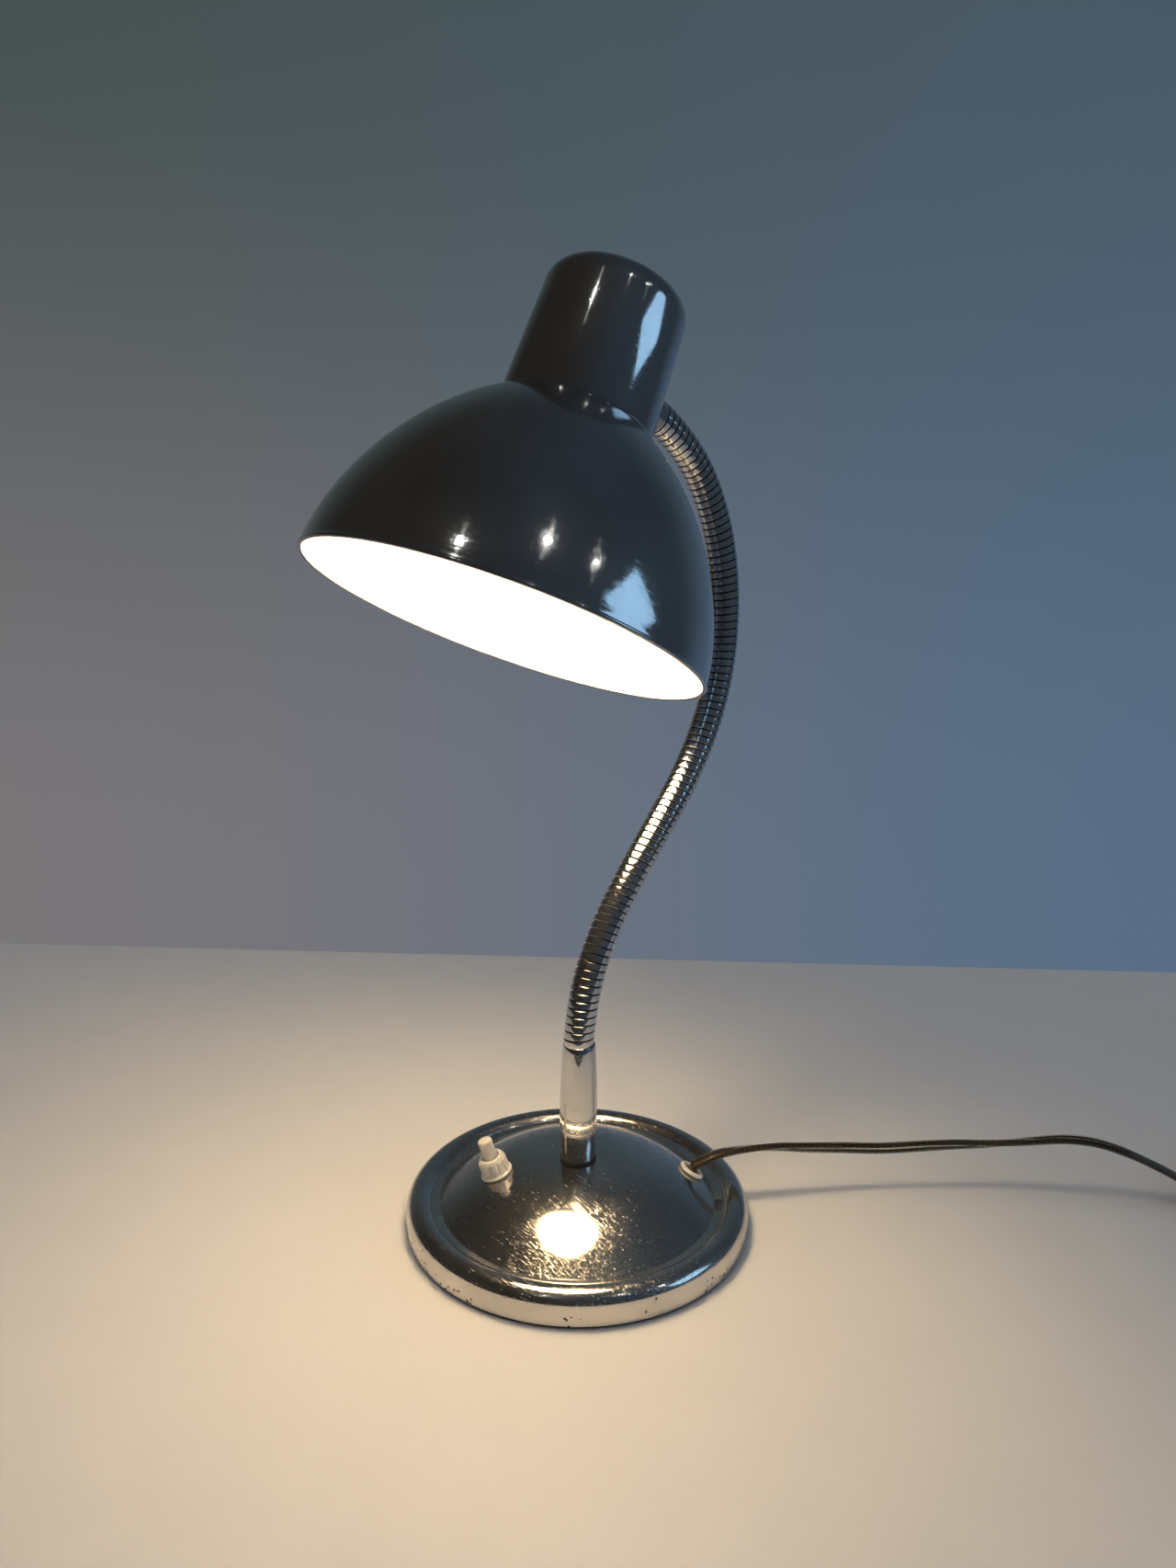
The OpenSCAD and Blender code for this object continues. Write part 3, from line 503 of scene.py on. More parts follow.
def plated(name, tint, shine, haze, scratch_scale, scratch_amount, pit_height=None, ring_axis=None):
    """Old polished plate: hairlines and a haze, dark pits below a height, polishing rings round an axis."""
    finish = Finish(name)
    finish.set(Metallic=1.0, Coat_Weight=0.8, Coat_Roughness=0.42)
    wear = finish.group(GROUPS["hairlines"], Scale=scratch_scale, Amount=scratch_amount,
                        Haze=haze, Shine=shine)
    finish.feed("Roughness", wear.outputs["Roughness"])
    place = finish.node("ShaderNodeTexCoord")
    colour_of = finish.clouded(finish.noise(22.0, 4.0, 0.6), tint, 0.78, 0.35, 0.65)
    if pit_height is not None:
        pits = finish.group(GROUPS["specks"], Scale=420.0, Size=0.24, Amount=0.53)
        split = finish.node("ShaderNodeSeparateXYZ")
        finish.join(place.outputs["Object"], split.inputs["Vector"])
        low = arithmetic(finish.tree, "LESS_THAN", split.outputs["Z"], pit_height)
        mask = arithmetic(finish.tree, "MULTIPLY", pits.outputs["Mask"], low)
        colour_of = mixed(finish.tree, mask, colour_of, (0.09, 0.045, 0.025, 1))
    finish.feed("Base Color", colour_of)
    height = wear.outputs["Height"]
    if ring_axis is not None:
        along = finish.node("ShaderNodeVectorMath", operation="DOT_PRODUCT")
        finish.join(place.outputs["Object"], along.inputs[0])
        along.inputs[1].default_value = ring_axis
        rings = finish.node("ShaderNodeTexNoise", noise_dimensions="1D",
                            Scale=700.0, Detail=3.0, Roughness=0.7)
        finish.join(along.outputs["Value"], rings.inputs["W"])
        lines = ramp(finish.tree, rings.outputs["Fac"], (0.54, 0.0), (0.62, 1.0), (0.70, 0.0))
        shallow = arithmetic(finish.tree, "MULTIPLY", lines, 0.3)
        height = arithmetic(finish.tree, "SUBTRACT", height, shallow)
    finish.bump(height, 0.00002, 0.6)
    return finish.material


def moulded(name, tint, roughness=0.3, coat=0.3, grain=900.0, uneven=0.12):
    """Moulded plastic with a faint mottling and a fine grain."""
    finish = Finish(name)
    finish.set(Coat_Weight=coat, Coat_Roughness=0.15, Roughness=roughness)
    finish.feed("Base Color", finish.clouded(finish.noise(120.0, 5.0, 0.6), tint, 1 - uneven, 0.3, 0.7))
    finish.bump(finish.noise(grain, 2.0), 0.00004, 0.35)
    return finish.material


def cast(name, tint, metallic, roughness, scale):
    """Rough metal or rubber: cloudy colour and a grainy surface."""
    finish = Finish(name)
    finish.set(Metallic=metallic)
    grain = finish.noise(scale, 8.0, 0.7)
    finish.feed("Base Color", finish.clouded(grain, tint, 0.6, 0.3, 0.7))
    spread = finish.node("ShaderNodeMapRange")
    finish.join(grain, spread.inputs["Value"])
    spread.inputs["To Min"].default_value = roughness - 0.12
    spread.inputs["To Max"].default_value = roughness + 0.12
    finish.feed("Roughness", spread.outputs["Result"])
    finish.bump(grain, 0.0002, 0.5)
    return finish.material


def enamelled(name, tint):
    """White enamel with a faint unevenness, as sprayed inside a shade."""
    finish = Finish(name)
    finish.set(Roughness=0.35, Coat_Weight=0.4, Coat_Roughness=0.2)
    cloud = finish.noise(60.0, 3.0)
    finish.feed("Base Color", finish.clouded(cloud, tint, 0.95, 0.35, 0.65))
    finish.bump(cloud, 0.0001, 0.4)
    return finish.material


def lit_glass(name, tint):
    """Frosted bulb glass, alight: brightest where it faces the eye, warmer and dimmer at its edge."""
    finish = Finish(name)
    finish.set(Roughness=0.4, Base_Color=(0.9, 0.86, 0.78, 1), Emission_Strength=BULB_STRENGTH)
    edge = finish.node("ShaderNodeLayerWeight", Blend=0.35)
    dimmer = (tint[0], tint[1] * 0.86, tint[2] * 0.72, 1.0)
    shine = ramp(finish.tree, edge.outputs["Facing"], (0.0, tuple(tint)), (1.0, dimmer))
    finish.feed("Emission Color", shine)
    return finish.material


def clear_sheath(name, tint):
    """Clear soft sheath of the lead."""
    finish = Finish(name)
    finish.set(Base_Color=tuple(tint), Transmission_Weight=1.0, IOR=1.38)
    finish.feed("Roughness", ramp(finish.tree, finish.noise(300.0, 2.0), (0.3, 0.06), (0.7, 0.16)))
    return finish.material


def stranded(name, tint):
    """Fine metal strands twisted together, seen through the sheath."""
    finish = Finish(name)
    finish.set(Metallic=0.6, Roughness=0.4)
    place = finish.node("ShaderNodeUVMap", uv_map="along")
    waves = finish.node("ShaderNodeTexWave", Scale=1.0, Distortion=0.4)
    waves.bands_direction = "DIAGONAL"
    finish.join(place.outputs["UV"], waves.inputs["Vector"])
    finish.feed("Base Color", finish.clouded(waves.outputs["Color"], tint, 0.35, 0.2, 0.8))
    finish.bump(waves.outputs["Color"], 0.0001, 0.5)
    return finish.material


BULB_STRENGTH = 52.0
GROUPS = {}
FINISHES = {}


def mix_finishes():
    """Makes every group and material once, by the name of its finish."""
    tone = colours()
    GROUPS["hairlines"] = hairline_scratches()
    GROUPS["specks"] = specks()
    plate = tone.plate
    bright = tone.bright_plate
    head_axis = head_place().to_3x3() @ Vector((0, 0, 1))
    FINISHES.update(
        base_plate=plated("base plate", tone.worn_plate, 0.05, 0.08, 90.0, 1.1, pit_height=0.011),
        shade_plate=plated("shade plate", plate, 0.05, 0.06, 50.0, 0.25, ring_axis=head_axis),
        cap_plate=plated("cap plate", plate, 0.04, 0.05, 60.0, 0.2, ring_axis=head_axis),
        neck_plate=plated("neck plate", bright, 0.05, 0.07, 120.0, 0.3),
        ferrule_plate=plated("ferrule plate", bright, 0.04, 0.05, 90.0, 0.4),
        sleeve_plate=plated("sleeve plate", plate, 0.22, 0.10, 90.0, 0.4),
        # Painted shade: a near-black finish for the inside of the neck's gaps, where shadow falls between
        # the turns of the strip
        neck_gap=cast("neck gap painted shade", (0.012, 0.011, 0.010, 1), 0.0, 0.7, 600.0),
        enamel=enamelled("enamel", tone.enamel),
        lit_glass=lit_glass("lit glass", tone.glow),
        ivory=moulded("ivory plastic", tone.ivory, 0.32, 0.35),
        grommet_ivory=moulded("grommet plastic", (0.82, 0.78, 0.70, 1), 0.3, 0.4),
        bakelite=moulded("bakelite", (0.035, 0.028, 0.024, 1), 0.25, 0.5, 500.0, 0.3),
        block=moulded("terminal plastic", (0.72, 0.69, 0.6, 1), 0.45, 0.1),
        clamp=moulded("clamp plastic", (0.05, 0.05, 0.05, 1), 0.5, 0.0, 700.0, 0.3),
        wire=moulded("wire cover", (0.16, 0.12, 0.08, 1), 0.35, 0.3, 900.0, 0.2),
        rubber=cast("pad rubber", (0.022, 0.021, 0.020, 1), 0.0, 0.8, 500.0),
        iron=cast("cast iron", (0.16, 0.16, 0.17, 1), 0.9, 0.6, 260.0),
        steel=plated("zinc steel", (0.52, 0.53, 0.54, 1), 0.28, 0.12, 80.0, 0.5),
        spring=plated("spring steel", (0.55, 0.55, 0.56, 1), 0.2, 0.05, 200.0, 0.2),
        brass=plated("dull brass", (0.62, 0.47, 0.21, 1), 0.25, 0.15, 120.0, 0.4),
        nickel=plated("nickel", (0.62, 0.60, 0.55, 1), 0.15, 0.1, 150.0, 0.4),
        insulator=moulded("bulb insulator", (0.02, 0.016, 0.02, 1), 0.1, 0.6, 400.0, 0.3),
        sheath=clear_sheath("clear sheath", tone.sheath),
        strands=stranded("twisted strands", tone.strand),
    )


# ---------------------------------------------------------------- camera, lamps, floor

CAMERA_AT = (0.3667, -0.3364, 0.3258)
CAMERA_RIGHT = (0.6777, 0.7353, 0.0121)
CAMERA_FORWARD = (-0.7145, 0.6623, -0.2256)
CAMERA_LENS = 27.0
LAMPS_MIDDLE = Vector((0, -0.04, 0.33))
# The table's edges lie along the view: turned about the lamp, behind it and before it
TABLE_TURN = 45.22
TABLE_BACK = 0.332
TABLE_FRONT = -0.23
TABLE_WIDTH = 1.4
EVEN_LIGHT = 0.18  # strength of the world's light on all but metal and glass
# Small bright lamps that the metal mirrors: heading from the lamp's middle, radiance, and roll of the faint
# streak through each
SPOTS = [
    ((0.265, -0.61, 0.745), 700, 0),
    ((0.66, -0.065, 0.745), 600, -38),
    ((0.785, 0.28, 0.55), 240, -42),
]
SPOT_DISTANCE = 2.0
SPOT_WIDTH = 0.026
STREAK_WIDTH = 0.012
STREAK_LENGTH = 0.7
STREAK_FAINTNESS = 250  # a spot is this many times as bright as its streak


def floor_finish():
    """Plain pale table top with a hardly seen unevenness."""
    finish = Finish("table top")
    finish.feed("Base Color", finish.clouded(finish.noise(30.0, 2.0), colours().floor, 0.985, 0.35, 0.65))
    finish.set(Roughness=0.55)
    return finish.material


def area_lamp(name, heading, distance, width, height, radiance, tint, roll=0.0, mirrored=True):
    """An area lamp at a distance from the lamp's middle, facing it, as bright as its radiance.

    It is round where it has no height."""
    data = bpy.data.lights.new(name, "AREA")
    data.shape = "RECTANGLE" if height else "DISK"
    data.size = width
    data.size_y = height
    area = width * height if height else math.pi * width ** 2 / 4
    data.energy = radiance * math.pi * area
    data.color = tint
    lamp = bpy.data.objects.new(name, data)
    bpy.context.scene.collection.objects.link(lamp)
    towards = Vector(heading).normalized()
    lamp.location = LAMPS_MIDDLE + towards * distance
    lamp.rotation_euler = ((-towards).to_track_quat("-Z", "Y")
                           @ Quaternion((0, 0, 1), math.radians(roll))).to_euler()
    lamp.visible_glossy = mirrored
    return lamp


def room(backdrop, ambient):
    """A dim world, shown to the camera and in metal and glass, that lights all else evenly.

    The wall behind the lamp is the backdrop, warmer low on the left and bluer on the right.
    The rest is darker."""
    world = bpy.data.worlds.new("room")
    world.use_nodes = True
    tree = world.node_tree
    place = tree.nodes.new("ShaderNodeTexCoord")

    def towards(direction, start, end):
        """How far a line of sight has turned towards a direction, from 0 to 1."""
        dot = new_node(tree, "ShaderNodeVectorMath", operation="DOT_PRODUCT")
        tree.links.new(place.outputs["Generated"], dot.inputs[0])
        dot.inputs[1].default_value = direction
        spread = new_node(tree, "ShaderNodeMapRange", interpolation_type="SMOOTHSTEP",
                          From_Min=start, From_Max=end)
        tree.links.new(dot.outputs["Value"], spread.inputs["Value"])
        return spread.outputs["Result"]

    def shade(red, green, blue):
        """The backdrop's colour, each channel by its own factor."""
        return backdrop[0] * red, backdrop[1] * green, backdrop[2] * blue, 1.0

    upwards = towards((0, 0, 1), -0.30, 0.40)
    across = towards(CAMERA_RIGHT, -0.5, 0.5)
    wall = mixed(tree, across, mixed(tree, upwards, shade(1.20, 1.10, 1.05), shade(0.38, 0.50, 0.45)),
                 mixed(tree, upwards, shade(0.62, 0.95, 1.33), shade(0.42, 0.62, 0.76)))
    behind = mixed(tree, across, shade(0.20, 0.17, 0.13), shade(0.22, 0.30, 0.36))
    shown = tree.nodes["Background"]
    tree.links.new(mixed(tree, towards(CAMERA_FORWARD, 0.30, 0.85), behind, wall), shown.inputs["Color"])
    light = new_node(tree, "ShaderNodeBackground", Color=(0.83, 0.89, 1.0, 1.0), Strength=ambient)
    path = tree.nodes.new("ShaderNodeLightPath")
    seen = arithmetic(tree, "MAXIMUM", path.outputs["Is Camera Ray"], path.outputs["Is Glossy Ray"])
    seen = arithmetic(tree, "MAXIMUM", seen, path.outputs["Is Transmission Ray"])
    mix = tree.nodes.new("ShaderNodeMixShader")
    tree.links.new(seen, mix.inputs["Fac"])
    tree.links.new(light.outputs[0], mix.inputs[1])
    tree.links.new(shown.outputs[0], mix.inputs[2])
    tree.links.new(mix.outputs[0], tree.nodes["World Output"].inputs["Surface"])
    return world


class LAMP_OT_stage(bpy.types.Operator):
    """Set up the camera, the table top, the dim room and the lamps"""

    bl_idname = "lamp.stage"
    bl_label = "Stage"

    def execute(self, context):
        scene = context.scene
        scene.view_settings.view_transform = "Standard"
        data = bpy.data.cameras.new("camera")
        data.lens = CAMERA_LENS
        data.sensor_width = 36.0
        data.clip_start = 0.01
        camera = bpy.data.objects.new("camera", data)
        scene.collection.objects.link(camera)
        right = Vector(CAMERA_RIGHT).normalized()
        back = -Vector(CAMERA_FORWARD).normalized()
        up = back.cross(right)
        turned_to = Matrix((right, up, back)).transposed().to_4x4()
        camera.matrix_world = Matrix.Translation(CAMERA_AT) @ turned_to
        scene.camera = camera

        select_only()
        bpy.ops.mesh.primitive_plane_add(size=1.0, location=(0, 0, 0))
        floor = added("table_top")
        depth = TABLE_BACK - TABLE_FRONT
        settle(floor, Matrix.Rotation(math.radians(TABLE_TURN), 4, "Z")
               @ Matrix.Translation((0, TABLE_FRONT + depth / 2, -0.0001))
               @ Matrix.Diagonal((TABLE_WIDTH, depth, 1, 1)))
        floor.data.materials.append(floor_finish())

        scene.world = room(colours().backdrop, EVEN_LIGHT)
        area_lamp("overhead", (-0.1, -0.15, 1.0), distance=1.7, width=1.3, height=1.3, radiance=1.0,
                  tint=(1.0, 0.97, 0.93), mirrored=False)
        area_lamp("window", (0.815, 0.505, 0.19), distance=1.6, width=0.72, height=0.60, radiance=1.5,
                  tint=(0.42, 0.71, 1.0), roll=14)
        for index, (heading, radiance, roll) in enumerate(SPOTS):
            spot = area_lamp(f"spot_{index + 1}", heading, SPOT_DISTANCE, SPOT_WIDTH, 0, radiance,
                             (1.0, 0.97, 0.88))
            streak = area_lamp(f"streak_{index + 1}", heading, SPOT_DISTANCE, STREAK_WIDTH, STREAK_LENGTH,
                               radiance / STREAK_FAINTNESS, (1.0, 0.93, 0.80), roll=roll)
            spot.visible_diffuse = streak.visible_diffuse = False
        return {"FINISHED"}


# ---------------------------------------------------------------- lead, coil and plug

LEAD_HEIGHT = 3.4 * MM  # height of the lead's middle line at the plug
PLUG_BLOCK = 12 * MM  # length of the plug before it is drawn in
LEAD_TWIST = 80  # degrees that the twin turns by, and back, on its way to the coil
CORE_RADIUS = 0.85 * MM
CORE_SIDES = 8
WEB_HALF = 0.8 * MM  # half the thickness of the web between the two strands
# Middle line in millimetres: from the grommet to the coil, and from the coil to the plug
ROUTE = [
    (32, 52, 23), (36, 59, 25.5), (41.5, 68.5, 26.5), (50.5, 82.5, 26.5), (60, 96.5, 25), (71, 112.5, 23.5),
    (83, 128, 22.5), (95.5, 142.5, 23.5), (106.5, 154.5, 24.5), (117.5, 166.5, 25), (129.5, 176.5, 27.5),
    (143, 187.5, 30.5), (151.5, 194, 31), (159, 200.5, 29.5), (167.5, 207, 26.5), (175, 216, 21),
    (184.5, 226.5, 13.5), (190, 231.5, 8.5), (197, 233, 5), (204, 232, 3.6), (211, 229, 3.4),
]
TAIL = [
    (224, 227, 11.2), (236, 226.5, 10), (248, 227, 7), (259, 229.5, 4.4), (270, 235, 3.4), (278, 243, 3.4),
    (282, 252, 3.4), (282, 256, 3.4),
]
COIL_AT = Vector((224, 264)) * MM
COIL_RADIUS = 34 * MM
COIL_START = -110.0
COIL_TURNS = 7
COIL_TURN_POINTS = 36
COIL_STEP = 3.3  # millimetres from one turn of the coil to the next, across and up
LAYER = COIL_STEP * MM
COIL_LOW = 1.85 * MM
# Column (-1 inner, 1 outer) and layer of each turn, and where the last one comes off
COIL_SLOTS = [(1, 0), (-1, 0), (-1, 1), (1, 1), (1, 2), (-1, 2), (-1, 3), (1, 3)]
LYING_DROP = 1.6 * MM


def coil_points():
    """The turns of the coil, beside and on each other, each moving to its next slot near its end."""
    points = []
    last = COIL_TURNS * COIL_TURN_POINTS + 2
    for i in range(1, last):
        turn, part = divmod(i / COIL_TURN_POINTS, 1)
        turn = int(turn)
        here = COIL_SLOTS[turn]
        there = COIL_SLOTS[min(turn + 1, len(COIL_SLOTS) - 1)]
        blend = smoothstep((part - 0.8) / 0.2)
        column = here[0] + (there[0] - here[0]) * blend
        layer = here[1] + (there[1] - here[1]) * blend
        angle = math.radians(COIL_START + 360 * i / COIL_TURN_POINTS)
        radius = COIL_RADIUS + column * COIL_STEP * MM
        points.append(Vector((COIL_AT.x + radius * math.cos(angle), COIL_AT.y + radius * math.sin(angle),
                              COIL_LOW + layer * LAYER)))
    return points


def lead_path():
    """The whole middle line of the lead, from the grommet's mouth to the plug."""
    mouth = on_dome(GROMMET_OUT, WIRING_TURN)
    start = [mouth @ Vector((0, 0, 1.95 * MM)), mouth @ Vector((0, 0, 5 * MM))]
    run = []
    for x, y, z in ROUTE:
        lying = smoothstep((10 - z) / 6.6)
        run.append(Vector((x, y, z)) * MM - Vector((0, 0, LYING_DROP * lying)))
    coil = coil_points()
    tail = [Vector(point) * MM for point in TAIL]
    normal = (mouth.to_3x3() @ Vector((0, 0, 1))).normalized()
    first = curve_through(start + run + coil[:1], (normal, (coil[1] - coil[0]).normalized()), 4)
    last = curve_through(coil[-1:] + tail[1:], ((coil[-1] - coil[-2]).normalized(), Vector((0, 1, 0))), 4)
    return first[:-1] + coil[:-1] + last, len(first)


def swept(name, path, section, twist):
    """A closed mesh of a section of (across, up) points carried along a path, with a twist at each point."""
    vertices = []
    faces = []
    count = len(section)
    for i, point in enumerate(path):
        heading = (path[min(i + 1, len(path) - 1)] - path[max(i - 1, 0)]).normalized()
        across = heading.cross(Vector((0, 0, 1))).normalized()
        up = across.cross(heading)
        turn = math.radians(twist[i])
        for u, v in section:
            a = u * math.cos(turn) - v * math.sin(turn)
            b = u * math.sin(turn) + v * math.cos(turn)
            vertices.append(point + across * a + up * b)
        if i:
            base = (i - 1) * count
            for k in range(count):
                n = (k + 1) % count
                faces.append((base + k, base + count + k, base + count + n, base + n))
    faces.append(tuple(range(count)))
    faces.append(tuple(range(len(vertices) - 1, len(vertices) - count - 1, -1)))
    mesh = bpy.data.meshes.new(name)
    mesh.from_pydata(vertices, [], faces)
    piece = bpy.data.objects.new(name, mesh)
    bpy.context.scene.collection.objects.link(piece)
    return piece


def twin_section(radius, waist, count):
    """The outline of two strands side by side with a web between them."""
    half = []
    for i in range(count + 1):
        a = math.radians(-135 + 270 * i / count)
        half.append((radius + radius * math.cos(a), radius * math.sin(a)))
    half[0] = (half[0][0], -waist)
    half[-1] = (half[-1][0], waist)
    return half + [(-x, y) for x, y in reversed(half)]


def strand_uv(piece, sides, pitch):
    """A UV map along a swept strand, so that its twist follows it."""
    layer = piece.data.uv_layers.new(name="along")
    for face in piece.data.polygons:
        for corner, vertex in zip(face.loop_indices, face.vertices):
            ring, place = divmod(vertex, sides)
            layer.data[corner].uv = (ring * pitch, place / sides)


class LAMP_OT_lead(bpy.types.Operator):
    """Lay the twin lead from the grommet to its coil, and put the plug on its end"""

    bl_idname = "lamp.lead"
    bl_label = "Lead and plug"

    def execute(self, context):
        radius = sizes().strand_radius
        path, run_count = lead_path()
        twist = []
        for i in range(len(path)):
            share = smoothstep((i - 8) / 24) - smoothstep((i - 34) / 20)
            twist.append(LEAD_TWIST * share if i < run_count else 0.0)
        sheath = swept("lead", path, twin_section(radius, WEB_HALF, 8), twist)
        soften(sheath, 60)
        cores = []
        for side in (-1, 1):
            ring = [(side * radius + CORE_RADIUS * math.cos(a), CORE_RADIUS * math.sin(a))
                    for a in (math.tau * k / CORE_SIDES for k in range(CORE_SIDES))]
            core = swept("core", path, ring, twist)
            strand_uv(core, CORE_SIDES, 0.9)
            soften(core, 60)
            cores.append(core)
        for index, piece in enumerate([sheath] + cores):
            piece.data.materials.append(FINISHES["sheath" if index == 0 else "strands"])
        select_only(*cores, sheath)
        bpy.ops.object.join()
        lead = added("lead")
        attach(lead, "base")
        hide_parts("cord_run", "cord_coil", "cord_tail")
        body = self.plug()
        return {"FINISHED"}

    def plug(self):
        """A flat two-pin plug: a rounded block, drawn in to the lead at its back."""
        low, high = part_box("plug_body")
        middle = (low + high) / 2
        width = high.x - low.x
        thick = high.z - low.z
        lead_up = LEAD_HEIGHT - middle.z
        select_only()
        bpy.ops.mesh.primitive_cylinder_add(vertices=48, radius=thick / 2, depth=PLUG_BLOCK,
                                            location=(0, 0, 0), rotation=(math.radians(90), 0, 0))
        body = added("plug")
        settle(body, Matrix.Translation((middle.x, high.y - 6 * MM, middle.z)) @ body.matrix_world)
        mesh = body.data
        for vertex in mesh.vertices:
            side = 1 if vertex.co.x > middle.x + 1e-6 else -1 if vertex.co.x < middle.x - 1e-6 else 0
            vertex.co.x += side * (width - thick) / 2
        bpy.ops.object.mode_set(mode="EDIT")
        bpy.ops.mesh.select_mode(type="FACE")
        for fraction, shrink, drop in ((0.12, 0.97, 0.0), (0.45, 0.62, 0.35), (0.43, 0.52, 0.65)):
            bpy.ops.mesh.select_all(action="DESELECT")
            bpy.ops.object.mode_set(mode="OBJECT")
            back = min(mesh.polygons, key=lambda face: face.center.y if face.area > 1e-5 else 1.0)
            back.select = True
            centre = tuple(back.center)
            bpy.ops.object.mode_set(mode="EDIT")
            step = (0, -fraction * (high.y - low.y - PLUG_BLOCK), drop * lead_up)
            bpy.ops.mesh.extrude_region_move(TRANSFORM_OT_translate={"value": step})
            bpy.ops.transform.resize(value=(shrink, 1, shrink ** 0.7),
                                     center_override=(centre[0], centre[1] + step[1], centre[2] + step[2]))
        bpy.ops.object.mode_set(mode="OBJECT")
        finish_with(body, "BEVEL", width=0.8 * MM, segments=3, angle_limit=math.radians(40))
        mend(body)
        soften(body, 40)
        dress(body, "base", "plug_plastic", FINISHES["ivory"], replaces=["plug_body"])
        return body


# ---------------------------------------------------------------- base


class LAMP_OT_base(bpy.types.Operator):
    """Turn the base's plated shell and pierce it for the switch and the lead"""

    bl_idname = "lamp.base"
    bl_label = "Base"

    def execute(self, context):
        size = sizes()
        radius = size.base_radius
        bend = size.rim_round
        middle = (radius - bend, size.rim_height - bend)
        wall = 0.8 * MM
        low = BASE_LOW.z
        outline = arc((radius - wall / 2, low + wall / 2), wall / 2, -90, 0, 4)
        outline += [(radius, low + 3 * MM)]
        outline += arc(middle, bend, 0, 148, 40)
        groove = size.groove_radius
        stem = 5.3 * MM
        outline += [(groove + 1.1 * MM, size.groove_height + 0.12 * MM)]
        steps = 56
        outline += [(groove - (groove - stem) * (i / steps) ** 1.6, 0) for i in range(steps + 1)]
        outline = [(r, z if z else dome_height(r)) for r, z in outline]
        under = [(r, dome_height(r) - wall) for r in (stem, 20 * MM, 40 * MM, 55 * MM, groove - 2 * MM)]
        under += arc(middle, bend - wall, 140, 0, 12)
        outline += under + [(radius - wall, low + wall / 2)]
        outline += [outline[0]]
        shell = turned("base_shell_plate", outline, 192, 30)
        for out, turn in ((SWITCH_OUT, WIRING_TURN + 180), (GROMMET_OUT, WIRING_TURN)):
            pierce(shell, settle(rod("cutter", HOLE_RADIUS, -4 * MM, 4 * MM), on_dome(out, turn)))
        dress(shell, "base", "base_metal", FINISHES["base_plate"], replaces=["base_shell"])
        return {"FINISHED"}


# ---------------------------------------------------------------- switch and grommet


class LAMP_OT_switch(bpy.types.Operator):
    """Model the switch's ribbed collar and its button"""

    bl_idname = "lamp.switch"
    bl_label = "Switch"

    def execute(self, context):
        place = on_dome(SWITCH_OUT, WIRING_TURN + 180)
        outline = [(3.4, 0.2), (7.0, 0.2), (7.4, 0.4), (7.5, 0.8), (7.4, 1.3), (7.0, 1.5), (6.75, 1.7)]
        outline += [(6.65, 2.0), (6.55, 7.3), (6.4, 7.8), (5.8, 8.9), (5.5, 9.35), (5.1, 9.5), (4.2, 9.5)]
        outline += [(3.95, 9.35), (3.9, 9.1), (3.9, 7.5), (3.4, 7.5), (3.4, 0.2)]
        collar = turned("switch_collar_body", in_mm(outline), 96, 28)
        notched(collar, 15, 6.95 * MM, 0.7 * MM, 2.3 * MM, 12 * MM, 28)
        settle(collar, place)
        dress(collar, "base", "switch_plastic", FINISHES["ivory"], replaces=["switch_collar"])

        low, high = -1.9, 18.3
        outline = [(0, low), (3.1, low), (3.3, low + 0.3), (3.3, 17.4), (3.22, 17.85), (2.95, 18.15)]
        outline += [(2.5, high), (0, high - 0.1)]
        button = turned("switch_button_body", in_mm(outline), 64, 40)
        settle(button, place)
        dress(button, "button", "switch_plastic", FINISHES["ivory"], replaces=["switch_button"])
        return {"FINISHED"}


class LAMP_OT_grommet(bpy.types.Operator):
    """Turn the ring through which the lead leaves the base"""

    bl_idname = "lamp.grommet"
    bl_label = "Grommet"

    def execute(self, context):
        outline = [(5.0, -2.6), (6.0, -2.6), (6.0, -1.4), (5.0, -1.2), (5.0, 0.15), (5.9, 0.15)]
        outline += arc((5.6, 0.8), 0.65, -60, 30, 5)
        outline += [(5.9, 1.5), (5.4, 1.85), (4.8, 1.93), (4.3, 1.8), (4.0, 1.4), (3.85, 0.6), (3.6, 0.0)]
        outline += [(3.6, -2.6), (5.0, -2.6)]
        ring = turned("grommet_ring", in_mm(outline), 64, 45)
        settle(ring, on_dome(GROMMET_OUT, WIRING_TURN))
        dress(ring, "base", "grommet_plastic", FINISHES["grommet_ivory"], replaces=["cord_grommet"])
        return {"FINISHED"}


# ---------------------------------------------------------------- ferrule, neck, sleeve


class LAMP_OT_ferrule(bpy.types.Operator):
    """Turn the smooth ferrule at the foot of the neck"""

    bl_idname = "lamp.ferrule"
    bl_label = "Ferrule"

    def execute(self, context):
        low = FERRULE_LOW.z
        high = PIVOTS[0].z - 5 * MM
        outline = [(5.1 * MM, low), (7.7 * MM, low)]
        steps = 24
        for i in range(steps + 1):
            u = i / steps
            r = 8.0 - 0.6 * u + 0.9 * 4 * u * (1 - u)
            outline.append((r * MM, low + 0.3 * MM + (high - low - 0.7 * MM) * u))
        outline += [(7.2 * MM, high - 0.1 * MM), (6.9 * MM, high), (6.2 * MM, high)]
        outline += [(6.2 * MM, high - 6 * MM), (5.1 * MM, high - 6 * MM), (5.1 * MM, low)]
        ferrule = turned("ferrule_plate", outline, 96, 40)
        dress(ferrule, "base", "neck_metal", FINISHES["ferrule_plate"], replaces=["lower_ferrule"])
        return {"FINISHED"}


